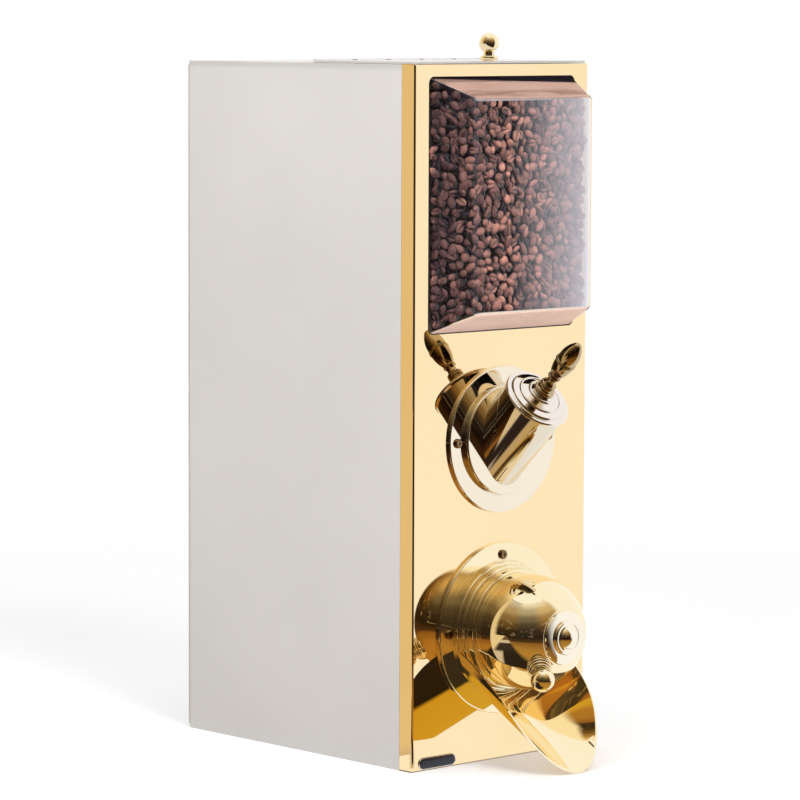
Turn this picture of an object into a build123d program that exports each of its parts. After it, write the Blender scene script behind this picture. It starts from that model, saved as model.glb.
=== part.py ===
from build123d import *
from math import acos, asin, atan2, cos, degrees, radians, sin, sqrt, tan
import os

# A counter-top dispenser for coffee beans. A folded sheet cabinet holds a hopper with a clear
# bubble window. A pull-out gate closes the duct below the hopper, and a turning domed outlet
# drops the beans on a half-round chute.
# Millimetres, +Z up, the front looks towards -Y, and the origin is the middle of the base.

# Cabinet sheets
WIDTH = 210.0
DEPTH = 300.0
SHEET = 1.2
FRONT_SHEET = 1.5
BEND_RADIUS = 1.5
SIDE_RETURN = 16.0
TOP_RETURN = 10.0
FLANGE = 14.0
LAP = 12.0
SEAM = 0.3
JOINT_GAP = 0.1

# Heights up the front, stacked from the base
OUTLET_Z = 117.0
OUTLET_TO_GATE = 166.0
GATE_TO_WINDOW = 95.5
WINDOW_HEIGHT = 221.0
TOP_STRIP = 10.5

# Bubble window
SIDE_STRIP = 16.5
WINDOW_CORNER = 6.0
BUBBLE_PROUD = 40.0
BUBBLE_SIDE_SLOPE = 18.5
BUBBLE_END_SLOPE = 17.0
BUBBLE_EDGE = 3.0
ACRYLIC = 3.0
WINDOW_LIP = 8.0
WINDOW_GAP = 0.5
GASKET = 1.0
CLAMP_SHEET = 1.5
STUD_RADIUS = 2.0
STUD_LENGTH = 10.0
STUD_PITCH = 64.0

# Hopper and duct
HOPPER_SHEET = 1.0
HOPPER_DEPTH = 190.0
WINDOW_TO_FUNNEL = 10.5
FUNNEL_DROP = 118.0
DUCT_WIDTH = 58.0
DUCT_HEIGHT = 52.0
DUCT_SHEET = 1.2
DUCT_PLATE = 140.0

# Lid and piano hinge
LID_LENGTH = 133.0
LID_INSET = 1.2
LID_EDGE = 2.2
HINGE_LENGTH = WIDTH - 10.0
KNUCKLE_RADIUS = 1.6
KNUCKLE_PITCH = 20.0
LEAF = 0.8
LEAF_WIDTH = 14.0
PIN_RADIUS = 0.8
RIVET_PITCH = 40.0
RIVET_RADIUS = 1.5
RIVET_HEAD_RADIUS = 2.6
RIVET_HEAD = 0.8
LID_KNOB_SETBACK = 18.0
LID_KNOB_BALL = 8.8
LID_KNOB_FOOT = 8.0
LID_KNOB_HEIGHT = 24.6

# Screws, nuts and running fits
SCREW_HEAD_RADIUS = 4.2
SCREW_HEAD = 2.4
SCREW_RADIUS = 2.0
RECESS_SPAN = 4.6
RECESS_WIDTH = 1.0
NUT_RADIUS = 4.0
NUT_HEIGHT = 3.2
RUNNING_GAP = 0.05
SLIDING_GAP = 0.3

# Gate, the upper fitting
FITTING_PLATE = 3.0
GATE_FLANGE_RADIUS = 64.5
GATE_DISC_RADIUS = 48.0
GATE_DISC = 5.0
GATE_SCREW_CIRCLE = 55.0
GATE_AXIS_DROP = 6.1
GATE_ANGLE = 45.0
BARREL_RADIUS = 29.4
BARREL_WALL = 2.0
BARREL_REACH = 61.4
CAP_LIP_RADIUS = 31.0
CAP_HEIGHT = 12.8
ROD_RADIUS = 5.0
ROD_STUB_RADIUS = 3.0
ROD_STUB = 11.0
BUSH_RADIUS = 8.0
BUSH_LENGTH = 17.0
BUSH_FLANGE_RADIUS = 11.0
GATE_TRAVEL = 56.0
PISTON_LENGTH = 70.0
COLLAR_RADIUS = 9.0
COLLAR_LENGTH = 8.0
HANDLE_FOOT_RADIUS = 9.5
HANDLE_BEAD_RADIUS = 7.4
HANDLE_WAIST_RADIUS = 4.4
HANDLE_NECK_RADIUS = 6.0
HANDLE_BULB_RADIUS = 9.4
HANDLE_NOSE_RADIUS = 4.6
HANDLE_LENGTH = 60.0

# Outlet, the lower fitting
OUTLET_FLANGE_RADIUS = 75.5
OUTLET_SCREW_CIRCLE = 64.5
RING_RADIUS = 58.5
RING_STEP = 3.0
RING_RISE = 5.0
LAST_RING_RISE = 8.4
HOOD_RADIUS = 50.5
HOOD_WALL = 2.0
HOOD_STRAIGHT = 14.3
HOOD_NOSE = 79.6
SLEEVE_GAP = 0.4
SLEEVE_WALL = 1.6
SLEEVE_REACH = 46.0
PORT_LENGTH = 19.0
PORT_WIDTH = 48.0
PORT_MARGIN = 0.6
SPINDLE_RADIUS = 5.0
SPINDLE_SHOULDER = 8.0
SPINDLE_STUB = 3.8
STOP_CIRCLE = 27.0
STOP_PIN_RADIUS = 3.0
STOP_PIN = 5.6
STOP_ARM_WIDTH = 8.0
STOP_ARM = 3.0
HOOD_TURN = 90.0
NOSE_DISC_RADIUS = 24.0
NOSE_DISC = 1.6
BOSS_RADIUS = 15.0
BOSS_HEIGHT = 8.0
BALL_RADIUS = 10.5
BALL_DISTANCE = 68.0
BALL_FOOT_RADIUS = 11.0
BALL_FOOT_STEP = 2.6
BALL_TILT = 42.7
BALL_CLOCK = 224.4

# Chute
CHUTE_RADIUS = 60.0
CHUTE_SHEET = 1.5
CHUTE_REACH = 98.5
CHUTE_TIP_Z = 1.0
RIM_TIP_ANGLE = 58.5
RIM_STRAIGHT = 50.2
RIM_FOOT_DROP = 14.5
RIM_FOOT_PROUD = 4.6

# Places that follow from the sizes
FRONT = -DEPTH / 2
BACK = DEPTH / 2
GATE_Z = OUTLET_Z + OUTLET_TO_GATE
WINDOW_BOTTOM = GATE_Z + GATE_TO_WINDOW
WINDOW_Z = WINDOW_BOTTOM + WINDOW_HEIGHT / 2
HEIGHT = WINDOW_BOTTOM + WINDOW_HEIGHT + TOP_STRIP
WINDOW_WIDTH = WIDTH - 2 * SIDE_STRIP
INNER_HALF = WIDTH / 2 - SHEET - JOINT_GAP
LAP_FACE = WIDTH / 2 - FRONT_SHEET - JOINT_GAP
SIDE_FRONT = FRONT + SIDE_RETURN + SEAM
SIDE_BACK = BACK - SHEET
HINGE_Y = FRONT + LID_LENGTH
HINGE_Z = HEIGHT + KNUCKLE_RADIUS + JOINT_GAP + 0.05
FLANGE_STACK = FRONT_SHEET + GASKET + ACRYLIC + CLAMP_SHEET
HOPPER_HALF = LAP_FACE - SHEET - SLIDING_GAP
HOPPER_FRONT = FRONT + FRONT_SHEET + SEAM
HOPPER_BACK = FRONT + HOPPER_DEPTH
FUNNEL_TOP = WINDOW_BOTTOM - WINDOW_TO_FUNNEL
FUNNEL_BOTTOM = FUNNEL_TOP - FUNNEL_DROP

os.makedirs("parts", exist_ok=True)


def facing(height, proud=0.0):
    """Plane parallel to the front panel, proud of its face, its origin at a height."""
    return Plane(origin=(0, FRONT - proud, height), x_dir=(1, 0, 0), z_dir=(0, -1, 0))


def side_view(height):
    """Middle plane of the dispenser: x runs forward from the panel's face, y runs up."""
    return Plane(origin=(0, FRONT, height), x_dir=(0, -1, 0), z_dir=(-1, 0, 0))


def save(sub_part, name):
    """Label a finished sub-part and write it under its name."""
    sub_part.part.label = name
    export_step(sub_part.part, f"parts/{name}.step")


def pan_screws(seat, spots, shank):
    """Cross-recessed pan screws seated on a plane, with shanks that go down behind it."""
    with BuildPart() as screws:
        with BuildSketch(seat):
            with Locations(*spots):
                Circle(SCREW_HEAD_RADIUS)
        extrude(amount=SCREW_HEAD)
        crown = screws.edges().filter_by(
            lambda edge: seat.to_local_coords(edge.center()).Z > SCREW_HEAD / 2
        )
        fillet(crown, SCREW_HEAD / 2)
        with BuildSketch(seat.offset(SCREW_HEAD)):
            with Locations(*spots):
                Rectangle(RECESS_SPAN, RECESS_WIDTH)
                Rectangle(RECESS_WIDTH, RECESS_SPAN)
        extrude(amount=-SCREW_HEAD / 2, mode=Mode.SUBTRACT)
        with BuildSketch(seat):
            with Locations(*spots):
                Circle(SCREW_RADIUS)
        extrude(amount=-shank)
    return screws


def hex_nuts(seat, spots, bore):
    """Plain hexagon nuts seated on a plane."""
    with BuildPart() as nuts:
        with BuildSketch(seat):
            with Locations(*spots):
                RegularPolygon(NUT_RADIUS, 6)
                Circle(bore, mode=Mode.SUBTRACT)
        extrude(amount=NUT_HEIGHT)
    return nuts


def on_circle(radius, count, start):
    """Points evenly spaced on a circle."""
    turns = [radians(start + 360 * number / count) for number in range(count)]
    return [(radius * cos(turn), radius * sin(turn)) for turn in turns]


# Gate geometry: the barrel's axis leaves the panel's face upwards, and the duct crosses it
# square, so that the piston closes the duct.
gate_lean = radians(GATE_ANGLE)
gate_origin = Vector(0, FRONT, GATE_Z - GATE_AXIS_DROP)
gate_dir = Vector(0, -cos(gate_lean), sin(gate_lean))
gate_axis = Axis(gate_origin, gate_dir)
gate_side = Plane(origin=gate_origin, x_dir=gate_dir, z_dir=(-1, 0, 0))
gate_rise = gate_origin.Z - OUTLET_Z
cross_depth = gate_rise / (tan(gate_lean) + 1 / tan(gate_lean))
cross_reach = cross_depth / cos(gate_lean)
duct_dir = Vector(0, -sin(gate_lean), -cos(gate_lean))
duct_centre = gate_origin - gate_dir * cross_reach
duct_section = Plane(origin=duct_centre, x_dir=(1, 0, 0), z_dir=duct_dir)
duct_half = DUCT_HEIGHT / 2 + DUCT_SHEET
BARREL_BORE = BARREL_RADIUS - BARREL_WALL
BARREL_FOOT = -(cross_reach - duct_half)
HANDLE_SEAT = BARREL_REACH + CAP_HEIGHT + SLIDING_GAP
PISTON_END = -(cross_reach + DUCT_HEIGHT / 2 - SLIDING_GAP - 0.7)


def across_gate(reach):
    """Plane square to the barrel's axis, a reach before the panel's face."""
    origin = gate_origin + gate_dir * reach
    return Plane(origin=origin, x_dir=(1, 0, 0), z_dir=gate_dir)


# Outlet geometry: everything turns about a level axis through the lower fitting.
outlet_axis = Axis((0, FRONT, OUTLET_Z), (0, -1, 0))
outlet_side = side_view(OUTLET_Z)
RINGS_FRONT = FITTING_PLATE + 2 * RING_RISE + LAST_RING_RISE
HOOD_BACK = RINGS_FRONT + SLIDING_GAP
DOME_CENTRE = HOOD_BACK + HOOD_STRAIGHT
HOOD_BORE = HOOD_RADIUS - HOOD_WALL
SLEEVE_RADIUS = HOOD_BORE - SLEEVE_GAP
SLEEVE_BORE = SLEEVE_RADIUS - SLEEVE_WALL
SLEEVE_BACK = -(FRONT_SHEET - JOINT_GAP)
SLEEVE_FACE = SLEEVE_REACH - HOOD_WALL
PORT_CENTRE = SLEEVE_FACE - 1.0 - PORT_LENGTH / 2
gate_spots = on_circle(GATE_SCREW_CIRCLE, 2, 0)

# The chute stands where a fourth screw of the outlet's flange would be
outlet_spots = on_circle(OUTLET_SCREW_CIRCLE, 4, 0)[:3]

# Screw studs of the window, in its two side strips
stud_x = WINDOW_WIDTH / 2 + WINDOW_LIP / 2
stud_spots = [
    (side * stud_x, STUD_PITCH * (row - 1.5))
    for side in (-1, 1)
    for row in range(4)
]

# Front panel: a tray with returns on all four sides, its openings, and the window's studs
with BuildPart() as front_panel:
    with BuildSketch(facing(HEIGHT / 2)):
        Rectangle(WIDTH, HEIGHT)
    extrude(amount=-SIDE_RETURN)
    front_face = front_panel.faces().sort_by(Axis.Y)[0]
    fillet(front_face.edges(), BEND_RADIUS)
    with BuildSketch(facing(HEIGHT / 2, -FRONT_SHEET)):
        Rectangle(WIDTH - 2 * FRONT_SHEET, HEIGHT - 2 * FRONT_SHEET)
    extrude(amount=-SIDE_RETURN, mode=Mode.SUBTRACT)
    with BuildSketch(facing(HEIGHT, -TOP_RETURN)):
        Rectangle(WIDTH - 2 * FRONT_SHEET, 4 * FRONT_SHEET)
    extrude(amount=-SIDE_RETURN, mode=Mode.SUBTRACT)
    with BuildSketch(facing(WINDOW_Z)):
        RectangleRounded(WINDOW_WIDTH, WINDOW_HEIGHT, WINDOW_CORNER)
    extrude(amount=-2 * FRONT_SHEET, mode=Mode.SUBTRACT)
    with BuildSketch(across_gate(0)):
        Circle(BARREL_RADIUS + SLIDING_GAP)
    extrude(amount=2 * BARREL_RADIUS, both=True, mode=Mode.SUBTRACT)
    with BuildSketch(facing(GATE_Z)):
        with Locations(*gate_spots):
            Circle(SCREW_RADIUS + JOINT_GAP)
    extrude(amount=-2 * FRONT_SHEET, mode=Mode.SUBTRACT)
    with BuildSketch(facing(OUTLET_Z)):
        Circle(SLEEVE_RADIUS + JOINT_GAP)
        with Locations(*outlet_spots):
            Circle(SCREW_RADIUS + JOINT_GAP)
    extrude(amount=-2 * FRONT_SHEET, mode=Mode.SUBTRACT)
    with BuildSketch(facing(WINDOW_Z, -FRONT_SHEET)):
        with Locations(*stud_spots):
            Circle(STUD_RADIUS)
    extrude(amount=-STUD_LENGTH)
save(front_panel, "front_panel")

# Left side panel: a lap behind the front tray's return, a rear flange and a top flange
# below the lid. The right one is its mirror image.
with BuildPart() as left_side_panel:
    with BuildSketch(Plane.XY):
        with BuildLine():
            Polyline(
                (-WIDTH / 2, SIDE_FRONT),
                (-WIDTH / 2, SIDE_BACK),
                (-WIDTH / 2 + FLANGE, SIDE_BACK),
                (-WIDTH / 2 + FLANGE, SIDE_BACK - SHEET),
                (-WIDTH / 2 + SHEET, SIDE_BACK - SHEET),
                (-WIDTH / 2 + SHEET, SIDE_FRONT),
                close=True,
            )
        make_face()
    extrude(amount=HEIGHT)
    rear_bend = left_side_panel.edges().filter_by(Axis.Z).group_by(Axis.Y)[-1].sort_by(Axis.X)[0]
    fillet(rear_bend, BEND_RADIUS)
    with BuildSketch(Plane.XY.offset(HEIGHT - FLANGE)):
        with Locations((-WIDTH / 2 + FLANGE, SIDE_BACK)):
            Rectangle(2 * (FLANGE - SHEET), 2 * BEND_RADIUS + 2 * SHEET)
    extrude(amount=FLANGE, mode=Mode.SUBTRACT)
    with BuildSketch(Plane.XY.offset(FLANGE + SHEET)):
        with Locations((-LAP_FACE, SIDE_FRONT)):
            Rectangle(SHEET, LAP + SHEET, align=(Align.MIN, Align.MAX))
        with Locations((-WIDTH / 2, SIDE_FRONT)):
            Rectangle(WIDTH / 2 - LAP_FACE + SHEET, SHEET, align=(Align.MIN, Align.MIN))
    extrude(amount=HEIGHT - 2 * (FLANGE + SHEET))
    with BuildSketch(Plane.XY.offset(HEIGHT)):
        with Locations((-WIDTH / 2, SIDE_FRONT)):
            Rectangle(FLANGE, LID_LENGTH - SIDE_RETURN, align=(Align.MIN, Align.MIN))
    extrude(amount=-SHEET)
save(left_side_panel, "left_side_panel")

with BuildPart() as right_side_panel:
    mirror(left_side_panel.part, about=Plane.YZ)
save(right_side_panel, "right_side_panel")

# Base plate: a shallow tray between the sides
with BuildPart() as base_plate:
    base_length = SIDE_BACK - SHEET - JOINT_GAP - SIDE_FRONT
    with BuildSketch(Plane.XY):
        with Locations((0, SIDE_FRONT + base_length / 2)):
            Rectangle(2 * INNER_HALF, base_length)
    extrude(amount=FLANGE)
    fillet(base_plate.faces().sort_by(Axis.Z)[0].edges().filter_by(Axis.Y), SHEET)
    with BuildSketch(Plane.XY.offset(SHEET)):
        with Locations((0, SIDE_FRONT + base_length / 2)):
            Rectangle(2 * (INNER_HALF - SHEET), base_length - 2 * SHEET)
    extrude(amount=FLANGE, mode=Mode.SUBTRACT)
save(base_plate, "base_plate")

# Back panel, screwed on the rear flanges of the sides
back_x = WIDTH / 2 - FLANGE / 2
back_spots = [
    (side * back_x, (HEIGHT - 4 * FLANGE) * share)
    for side in (-1, 1)
    for share in (-1 / 2, -1 / 6, 1 / 6, 1 / 2)
]
back_face = Plane(origin=(0, BACK, HEIGHT / 2), x_dir=(-1, 0, 0), z_dir=(0, 1, 0))
with BuildPart() as back_panel:
    with BuildSketch(back_face):
        RectangleRounded(WIDTH - 2 * JOINT_GAP, HEIGHT - 4 * SHEET, 2 * BEND_RADIUS)
        with Locations(*back_spots):
            Circle(SCREW_RADIUS + JOINT_GAP, mode=Mode.SUBTRACT)
    extrude(amount=-SHEET)
save(back_panel, "back_panel")

back_panel_screws = pan_screws(back_face, back_spots, SHEET)
save(back_panel_screws, "back_panel_screws")

# Rear top plate: an inverted tray, flush with the top of the sides
plate_front = HINGE_Y + KNUCKLE_RADIUS
plate_length = SIDE_BACK - JOINT_GAP - plate_front
fixed_rivet_y = HINGE_Y + LEAF_WIDTH * 0.6
moving_rivet_y = HINGE_Y - LEAF_WIDTH * 0.6
fixed_rivet_spots = [(RIVET_PITCH * step, fixed_rivet_y) for step in (-2, -1, 0, 1, 2)]
moving_rivet_spots = [(RIVET_PITCH * step, moving_rivet_y) for step in (-1.5, -0.5, 0.5, 1.5)]
with BuildPart() as rear_top_plate:
    with BuildSketch(Plane.XY.offset(HEIGHT)):
        with Locations((0, plate_front + plate_length / 2)):
            Rectangle(2 * INNER_HALF, plate_length)
    extrude(amount=-FLANGE + SHEET)
    with BuildSketch(Plane.XY.offset(HEIGHT - SHEET)):
        with Locations((0, plate_front + plate_length / 2 - SHEET)):
            Rectangle(2 * (INNER_HALF - SHEET), plate_length)
    extrude(amount=-FLANGE, mode=Mode.SUBTRACT)
    with BuildSketch(Plane.XY.offset(HEIGHT)):
        with Locations(*fixed_rivet_spots):
            Circle(RIVET_RADIUS + JOINT_GAP)
    extrude(amount=-2 * SHEET, mode=Mode.SUBTRACT)
save(rear_top_plate, "rear_top_plate")


def loft_frustum(height, back_grow, shrink):
    """Solid between the window's opening and the smaller face of the bubble."""
    with BuildPart() as frustum:
        with BuildSketch(facing(WINDOW_Z, -back_grow)):
            RectangleRounded(
                WINDOW_WIDTH - 2 * WINDOW_GAP - 2 * shrink,
                WINDOW_HEIGHT - 2 * WINDOW_GAP - 2 * shrink,
                WINDOW_CORNER - WINDOW_GAP,
            )
        with BuildSketch(facing(WINDOW_Z, height)):
            RectangleRounded(
                WINDOW_WIDTH - 2 * BUBBLE_SIDE_SLOPE - 2 * shrink,
                WINDOW_HEIGHT - 2 * BUBBLE_END_SLOPE - 2 * shrink,
                WINDOW_CORNER - WINDOW_GAP,
            )
        loft()
    return frustum


# Window: a formed acrylic bubble with a lip that is clamped behind the panel
lip_width = WINDOW_WIDTH + 2 * WINDOW_LIP
lip_height = WINDOW_HEIGHT + 2 * WINDOW_LIP
lip_back = FRONT_SHEET + GASKET
bubble_outer = loft_frustum(BUBBLE_PROUD, lip_back, 0)
bubble_inner = loft_frustum(BUBBLE_PROUD - ACRYLIC, lip_back, ACRYLIC)
with BuildPart() as window_bubble:
    add(bubble_outer.part)
    fillet(window_bubble.faces().sort_by(Axis.Y)[0].edges(), BUBBLE_EDGE)
    with BuildSketch(facing(WINDOW_Z, -lip_back)):
        RectangleRounded(lip_width, lip_height, WINDOW_CORNER)
        with Locations(*stud_spots):
            Circle(STUD_RADIUS + JOINT_GAP, mode=Mode.SUBTRACT)
    extrude(amount=-ACRYLIC)
    add(bubble_inner.part, mode=Mode.SUBTRACT)
    with BuildSketch(facing(WINDOW_Z, -lip_back)):
        RectangleRounded(
            WINDOW_WIDTH - 2 * WINDOW_GAP - 2 * ACRYLIC,
            WINDOW_HEIGHT - 2 * WINDOW_GAP - 2 * ACRYLIC,
            WINDOW_CORNER - WINDOW_GAP,
        )
    extrude(amount=-2 * ACRYLIC, mode=Mode.SUBTRACT)
save(window_bubble, "window_bubble")


def window_ring(proud, thickness):
    """Flat ring round the window's opening, with holes for the studs."""
    with BuildPart() as ring:
        with BuildSketch(facing(WINDOW_Z, proud)):
            RectangleRounded(lip_width, lip_height, WINDOW_CORNER)
            RectangleRounded(WINDOW_WIDTH, WINDOW_HEIGHT, WINDOW_CORNER, mode=Mode.SUBTRACT)
            with Locations(*stud_spots):
                Circle(STUD_RADIUS + JOINT_GAP, mode=Mode.SUBTRACT)
        extrude(amount=-thickness)
    return ring


window_gasket = window_ring(-FRONT_SHEET, GASKET)
save(window_gasket, "window_gasket")

window_clamp_frame = window_ring(-lip_back - ACRYLIC, CLAMP_SHEET)
save(window_clamp_frame, "window_clamp_frame")

nut_seat = Plane(origin=(0, FRONT + FLANGE_STACK, WINDOW_Z), x_dir=(1, 0, 0), z_dir=(0, 1, 0))
window_nuts = hex_nuts(nut_seat, [(x, -y) for x, y in stud_spots], STUD_RADIUS + JOINT_GAP)
save(window_nuts, "window_nuts")

# Hopper: three sheet walls behind the window, a funnel and a sloping square duct
hopper_length = HOPPER_BACK - HOPPER_FRONT
hopper_middle = HOPPER_FRONT + hopper_length / 2
with BuildPart() as hopper_body:
    with BuildSketch(Plane.XY.offset(FUNNEL_TOP)):
        with Locations((0, hopper_middle)):
            Rectangle(2 * HOPPER_HALF, hopper_length)
        with Locations((0, hopper_middle - HOPPER_SHEET)):
            Rectangle(2 * (HOPPER_HALF - HOPPER_SHEET), hopper_length, mode=Mode.SUBTRACT)
    extrude(amount=HEIGHT - SHEET - SEAM - FUNNEL_TOP)
save(hopper_body, "hopper_body")

duct_slope = 90 - GATE_ANGLE
mouth_y = FRONT + (FUNNEL_BOTTOM - OUTLET_Z) * tan(gate_lean)
mouth_outer = 2 * duct_half / sin(radians(duct_slope))
mouth_inner = DUCT_HEIGHT / sin(radians(duct_slope))
with BuildPart() as hopper_funnel:
    with BuildSketch(Plane.XY.offset(FUNNEL_TOP)):
        with Locations((0, hopper_middle)):
            Rectangle(2 * HOPPER_HALF, hopper_length)
    with BuildSketch(Plane.XY.offset(FUNNEL_BOTTOM)):
        with Locations((0, mouth_y)):
            Rectangle(DUCT_WIDTH + 2 * DUCT_SHEET, mouth_outer)
    loft()
    with BuildSketch(Plane.XY.offset(FUNNEL_TOP)):
        with Locations((0, hopper_middle)):
            Rectangle(2 * (HOPPER_HALF - HOPPER_SHEET), hopper_length - 2 * HOPPER_SHEET)
    with BuildSketch(Plane.XY.offset(FUNNEL_BOTTOM)):
        with Locations((0, mouth_y)):
            Rectangle(DUCT_WIDTH, mouth_inner)
    loft(mode=Mode.SUBTRACT)
save(hopper_funnel, "hopper_funnel")

with BuildPart() as hopper_duct:
    with BuildSketch(duct_section):
        Rectangle(DUCT_WIDTH + 2 * DUCT_SHEET, 2 * duct_half)
    extrude(amount=2 * cross_reach, both=True)
    split(bisect_by=Plane.XY.offset(FUNNEL_BOTTOM), keep=Keep.BOTTOM)
    split(bisect_by=facing(OUTLET_Z, -FRONT_SHEET), keep=Keep.BOTTOM)
    with BuildSketch(facing(OUTLET_Z, -FRONT_SHEET)):
        Rectangle(DUCT_PLATE, DUCT_PLATE)
        with Locations(*outlet_spots):
            Circle(SCREW_RADIUS + JOINT_GAP, mode=Mode.SUBTRACT)
    extrude(amount=-FRONT_SHEET)
    with BuildSketch(duct_section):
        Rectangle(DUCT_WIDTH, DUCT_HEIGHT)
    extrude(amount=2 * cross_reach, both=True, mode=Mode.SUBTRACT)
    with BuildSketch(across_gate(BARREL_FOOT)):
        Circle(BARREL_BORE)
    extrude(amount=-2 * DUCT_SHEET, mode=Mode.SUBTRACT)
save(hopper_duct, "hopper_duct")

# Lid: a shallow pan over the front half of the top
lid_back = HINGE_Y - KNUCKLE_RADIUS - 3 * SLIDING_GAP
lid_front = FRONT + LID_INSET
lid_top = HEIGHT + LID_EDGE
lid_span = lid_back - lid_front
knob_y = FRONT + LID_KNOB_SETBACK
with BuildPart() as lid:
    with BuildSketch(Plane.XY.offset(lid_top)):
        with Locations((0, lid_front + lid_span / 2)):
            Rectangle(WIDTH - 2 * LID_INSET, lid_span)
    extrude(amount=-(LID_EDGE - SLIDING_GAP))
    fillet(lid.edges().filter_by(Axis.Z).group_by(Axis.Y)[0], 2 * BEND_RADIUS)
    with BuildSketch(Plane.XY.offset(lid_top - SHEET)):
        with Locations((0, lid_front + lid_span / 2 + SHEET)):
            Rectangle(WIDTH - 2 * LID_INSET - 2 * SHEET, lid_span)
    extrude(amount=-LID_EDGE, mode=Mode.SUBTRACT)
    with BuildSketch(Plane.XY.offset(lid_top)):
        with Locations(*moving_rivet_spots):
            Circle(RIVET_RADIUS + JOINT_GAP)
        with Locations((0, knob_y)):
            Circle(SCREW_RADIUS + JOINT_GAP)
    extrude(amount=-LID_EDGE, mode=Mode.SUBTRACT)
save(lid, "lid")

# Lid knob: a ball on a beaded foot
ball_z = LID_KNOB_HEIGHT - LID_KNOB_BALL
neck_radius = LID_KNOB_FOOT * 0.62
foot_height = LID_KNOB_FOOT * 0.6
neck_angle = degrees(asin(neck_radius / LID_KNOB_BALL))
knob_screw_depth = LID_KNOB_HEIGHT * 0.45
knob_plane = Plane(origin=(0, knob_y, lid_top), x_dir=(0, 0, 1), z_dir=(1, 0, 0))
with BuildPart() as lid_knob:
    with BuildSketch(knob_plane):
        with BuildLine():
            tip = CenterArc((ball_z, 0), LID_KNOB_BALL, 0, 180 - neck_angle)
            neck = Line(tip @ 1, (foot_height, neck_radius))
            shoulder = Line(neck @ 1, (foot_height, LID_KNOB_FOOT - 1))
            bead = ThreePointArc(
                shoulder @ 1,
                (foot_height * 0.6, LID_KNOB_FOOT),
                (foot_height * 0.25, LID_KNOB_FOOT - 0.6),
            )
            foot = Line(bead @ 1, (0, LID_KNOB_FOOT))
            Polyline(
                foot @ 1,
                (0, SCREW_RADIUS + RUNNING_GAP),
                (knob_screw_depth, SCREW_RADIUS + RUNNING_GAP),
                (knob_screw_depth, 0),
                tip @ 0,
            )
        make_face()
    revolve(axis=Axis((0, knob_y, lid_top), (0, 0, 1)))
save(lid_knob, "lid_knob")

with BuildPart() as lid_knob_screw:
    with BuildSketch(Plane.XY.offset(lid_top - SHEET)):
        with Locations((0, knob_y)):
            Circle(SCREW_HEAD_RADIUS)
    extrude(amount=-SCREW_HEAD)
    fillet(lid_knob_screw.faces().sort_by(Axis.Z)[0].edges(), SCREW_HEAD / 3)
    with BuildSketch(Plane.XY.offset(lid_top - SHEET)):
        with Locations((0, knob_y)):
            Circle(SCREW_RADIUS)
    extrude(amount=SHEET + knob_screw_depth - SLIDING_GAP)
save(lid_knob_screw, "lid_knob_screw")

# Piano hinge: knuckles take turns between the two leaves on one pin
knuckle_count = int(HINGE_LENGTH // KNUCKLE_PITCH)
first_knuckle = -KNUCKLE_PITCH * (knuckle_count - 1) / 2
knuckles = [first_knuckle + KNUCKLE_PITCH * number for number in range(knuckle_count)]
hinge_end = Plane(origin=(0, HINGE_Y, HINGE_Z), x_dir=(0, 1, 0), z_dir=(1, 0, 0))


def hinge_leaf(side, bottom, own_knuckles, rivet_spots):
    """One leaf: a flat strip on one side of the pin, joined to its own knuckles."""
    knuckle_length = KNUCKLE_PITCH - SLIDING_GAP
    clear = KNUCKLE_RADIUS + SLIDING_GAP
    with BuildPart() as leaf:
        with BuildSketch(Plane.XY.offset(bottom)):
            with Locations((0, HINGE_Y + side * (clear + LEAF_WIDTH) / 2)):
                Rectangle(knuckle_count * KNUCKLE_PITCH, LEAF_WIDTH - clear)
            for x in own_knuckles:
                with Locations((x, HINGE_Y + side * LEAF_WIDTH / 4)):
                    Rectangle(knuckle_length, LEAF_WIDTH / 2)
            with Locations(*rivet_spots):
                Circle(RIVET_RADIUS + JOINT_GAP, mode=Mode.SUBTRACT)
        extrude(amount=LEAF)
        for x in own_knuckles:
            with BuildSketch(hinge_end.offset(x - knuckle_length / 2)):
                Circle(KNUCKLE_RADIUS)
            extrude(amount=knuckle_length)
        with BuildSketch(hinge_end):
            Circle(PIN_RADIUS + RUNNING_GAP)
        extrude(amount=HINGE_LENGTH, both=True, mode=Mode.SUBTRACT)
    return leaf


hinge_fixed_leaf = hinge_leaf(1, HEIGHT, knuckles[0::2], fixed_rivet_spots)
save(hinge_fixed_leaf, "hinge_fixed_leaf")

moving_leaf_bottom = lid_top - SHEET - LEAF
hinge_moving_leaf = hinge_leaf(-1, moving_leaf_bottom, knuckles[1::2], moving_rivet_spots)
save(hinge_moving_leaf, "hinge_moving_leaf")

with BuildPart() as hinge_pin:
    with BuildSketch(hinge_end):
        Circle(PIN_RADIUS)
    extrude(amount=knuckle_count * KNUCKLE_PITCH / 2 - SLIDING_GAP, both=True)
save(hinge_pin, "hinge_pin")


def sheet_rivets(spots, top, bottom):
    """Rivets with a low domed head above and a flat shop head below."""
    with BuildPart() as rivets:
        with BuildSketch(Plane.XY.offset(top)):
            with Locations(*spots):
                Circle(RIVET_HEAD_RADIUS)
        extrude(amount=RIVET_HEAD)
        fillet(rivets.edges().group_by(Axis.Z)[-1], RIVET_HEAD * 0.7)
        with BuildSketch(Plane.XY.offset(top)):
            with Locations(*spots):
                Circle(RIVET_RADIUS)
        extrude(amount=bottom - top)
        with BuildSketch(Plane.XY.offset(bottom)):
            with Locations(*spots):
                Circle(RIVET_RADIUS + RIVET_HEAD)
        extrude(amount=-RIVET_HEAD)
    return rivets


hinge_fixed_rivets = sheet_rivets(fixed_rivet_spots, HEIGHT + LEAF, HEIGHT - SHEET)
save(hinge_fixed_rivets, "hinge_fixed_rivets")

hinge_moving_rivets = sheet_rivets(moving_rivet_spots, lid_top, moving_leaf_bottom)
save(hinge_moving_rivets, "hinge_moving_rivets")

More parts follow.
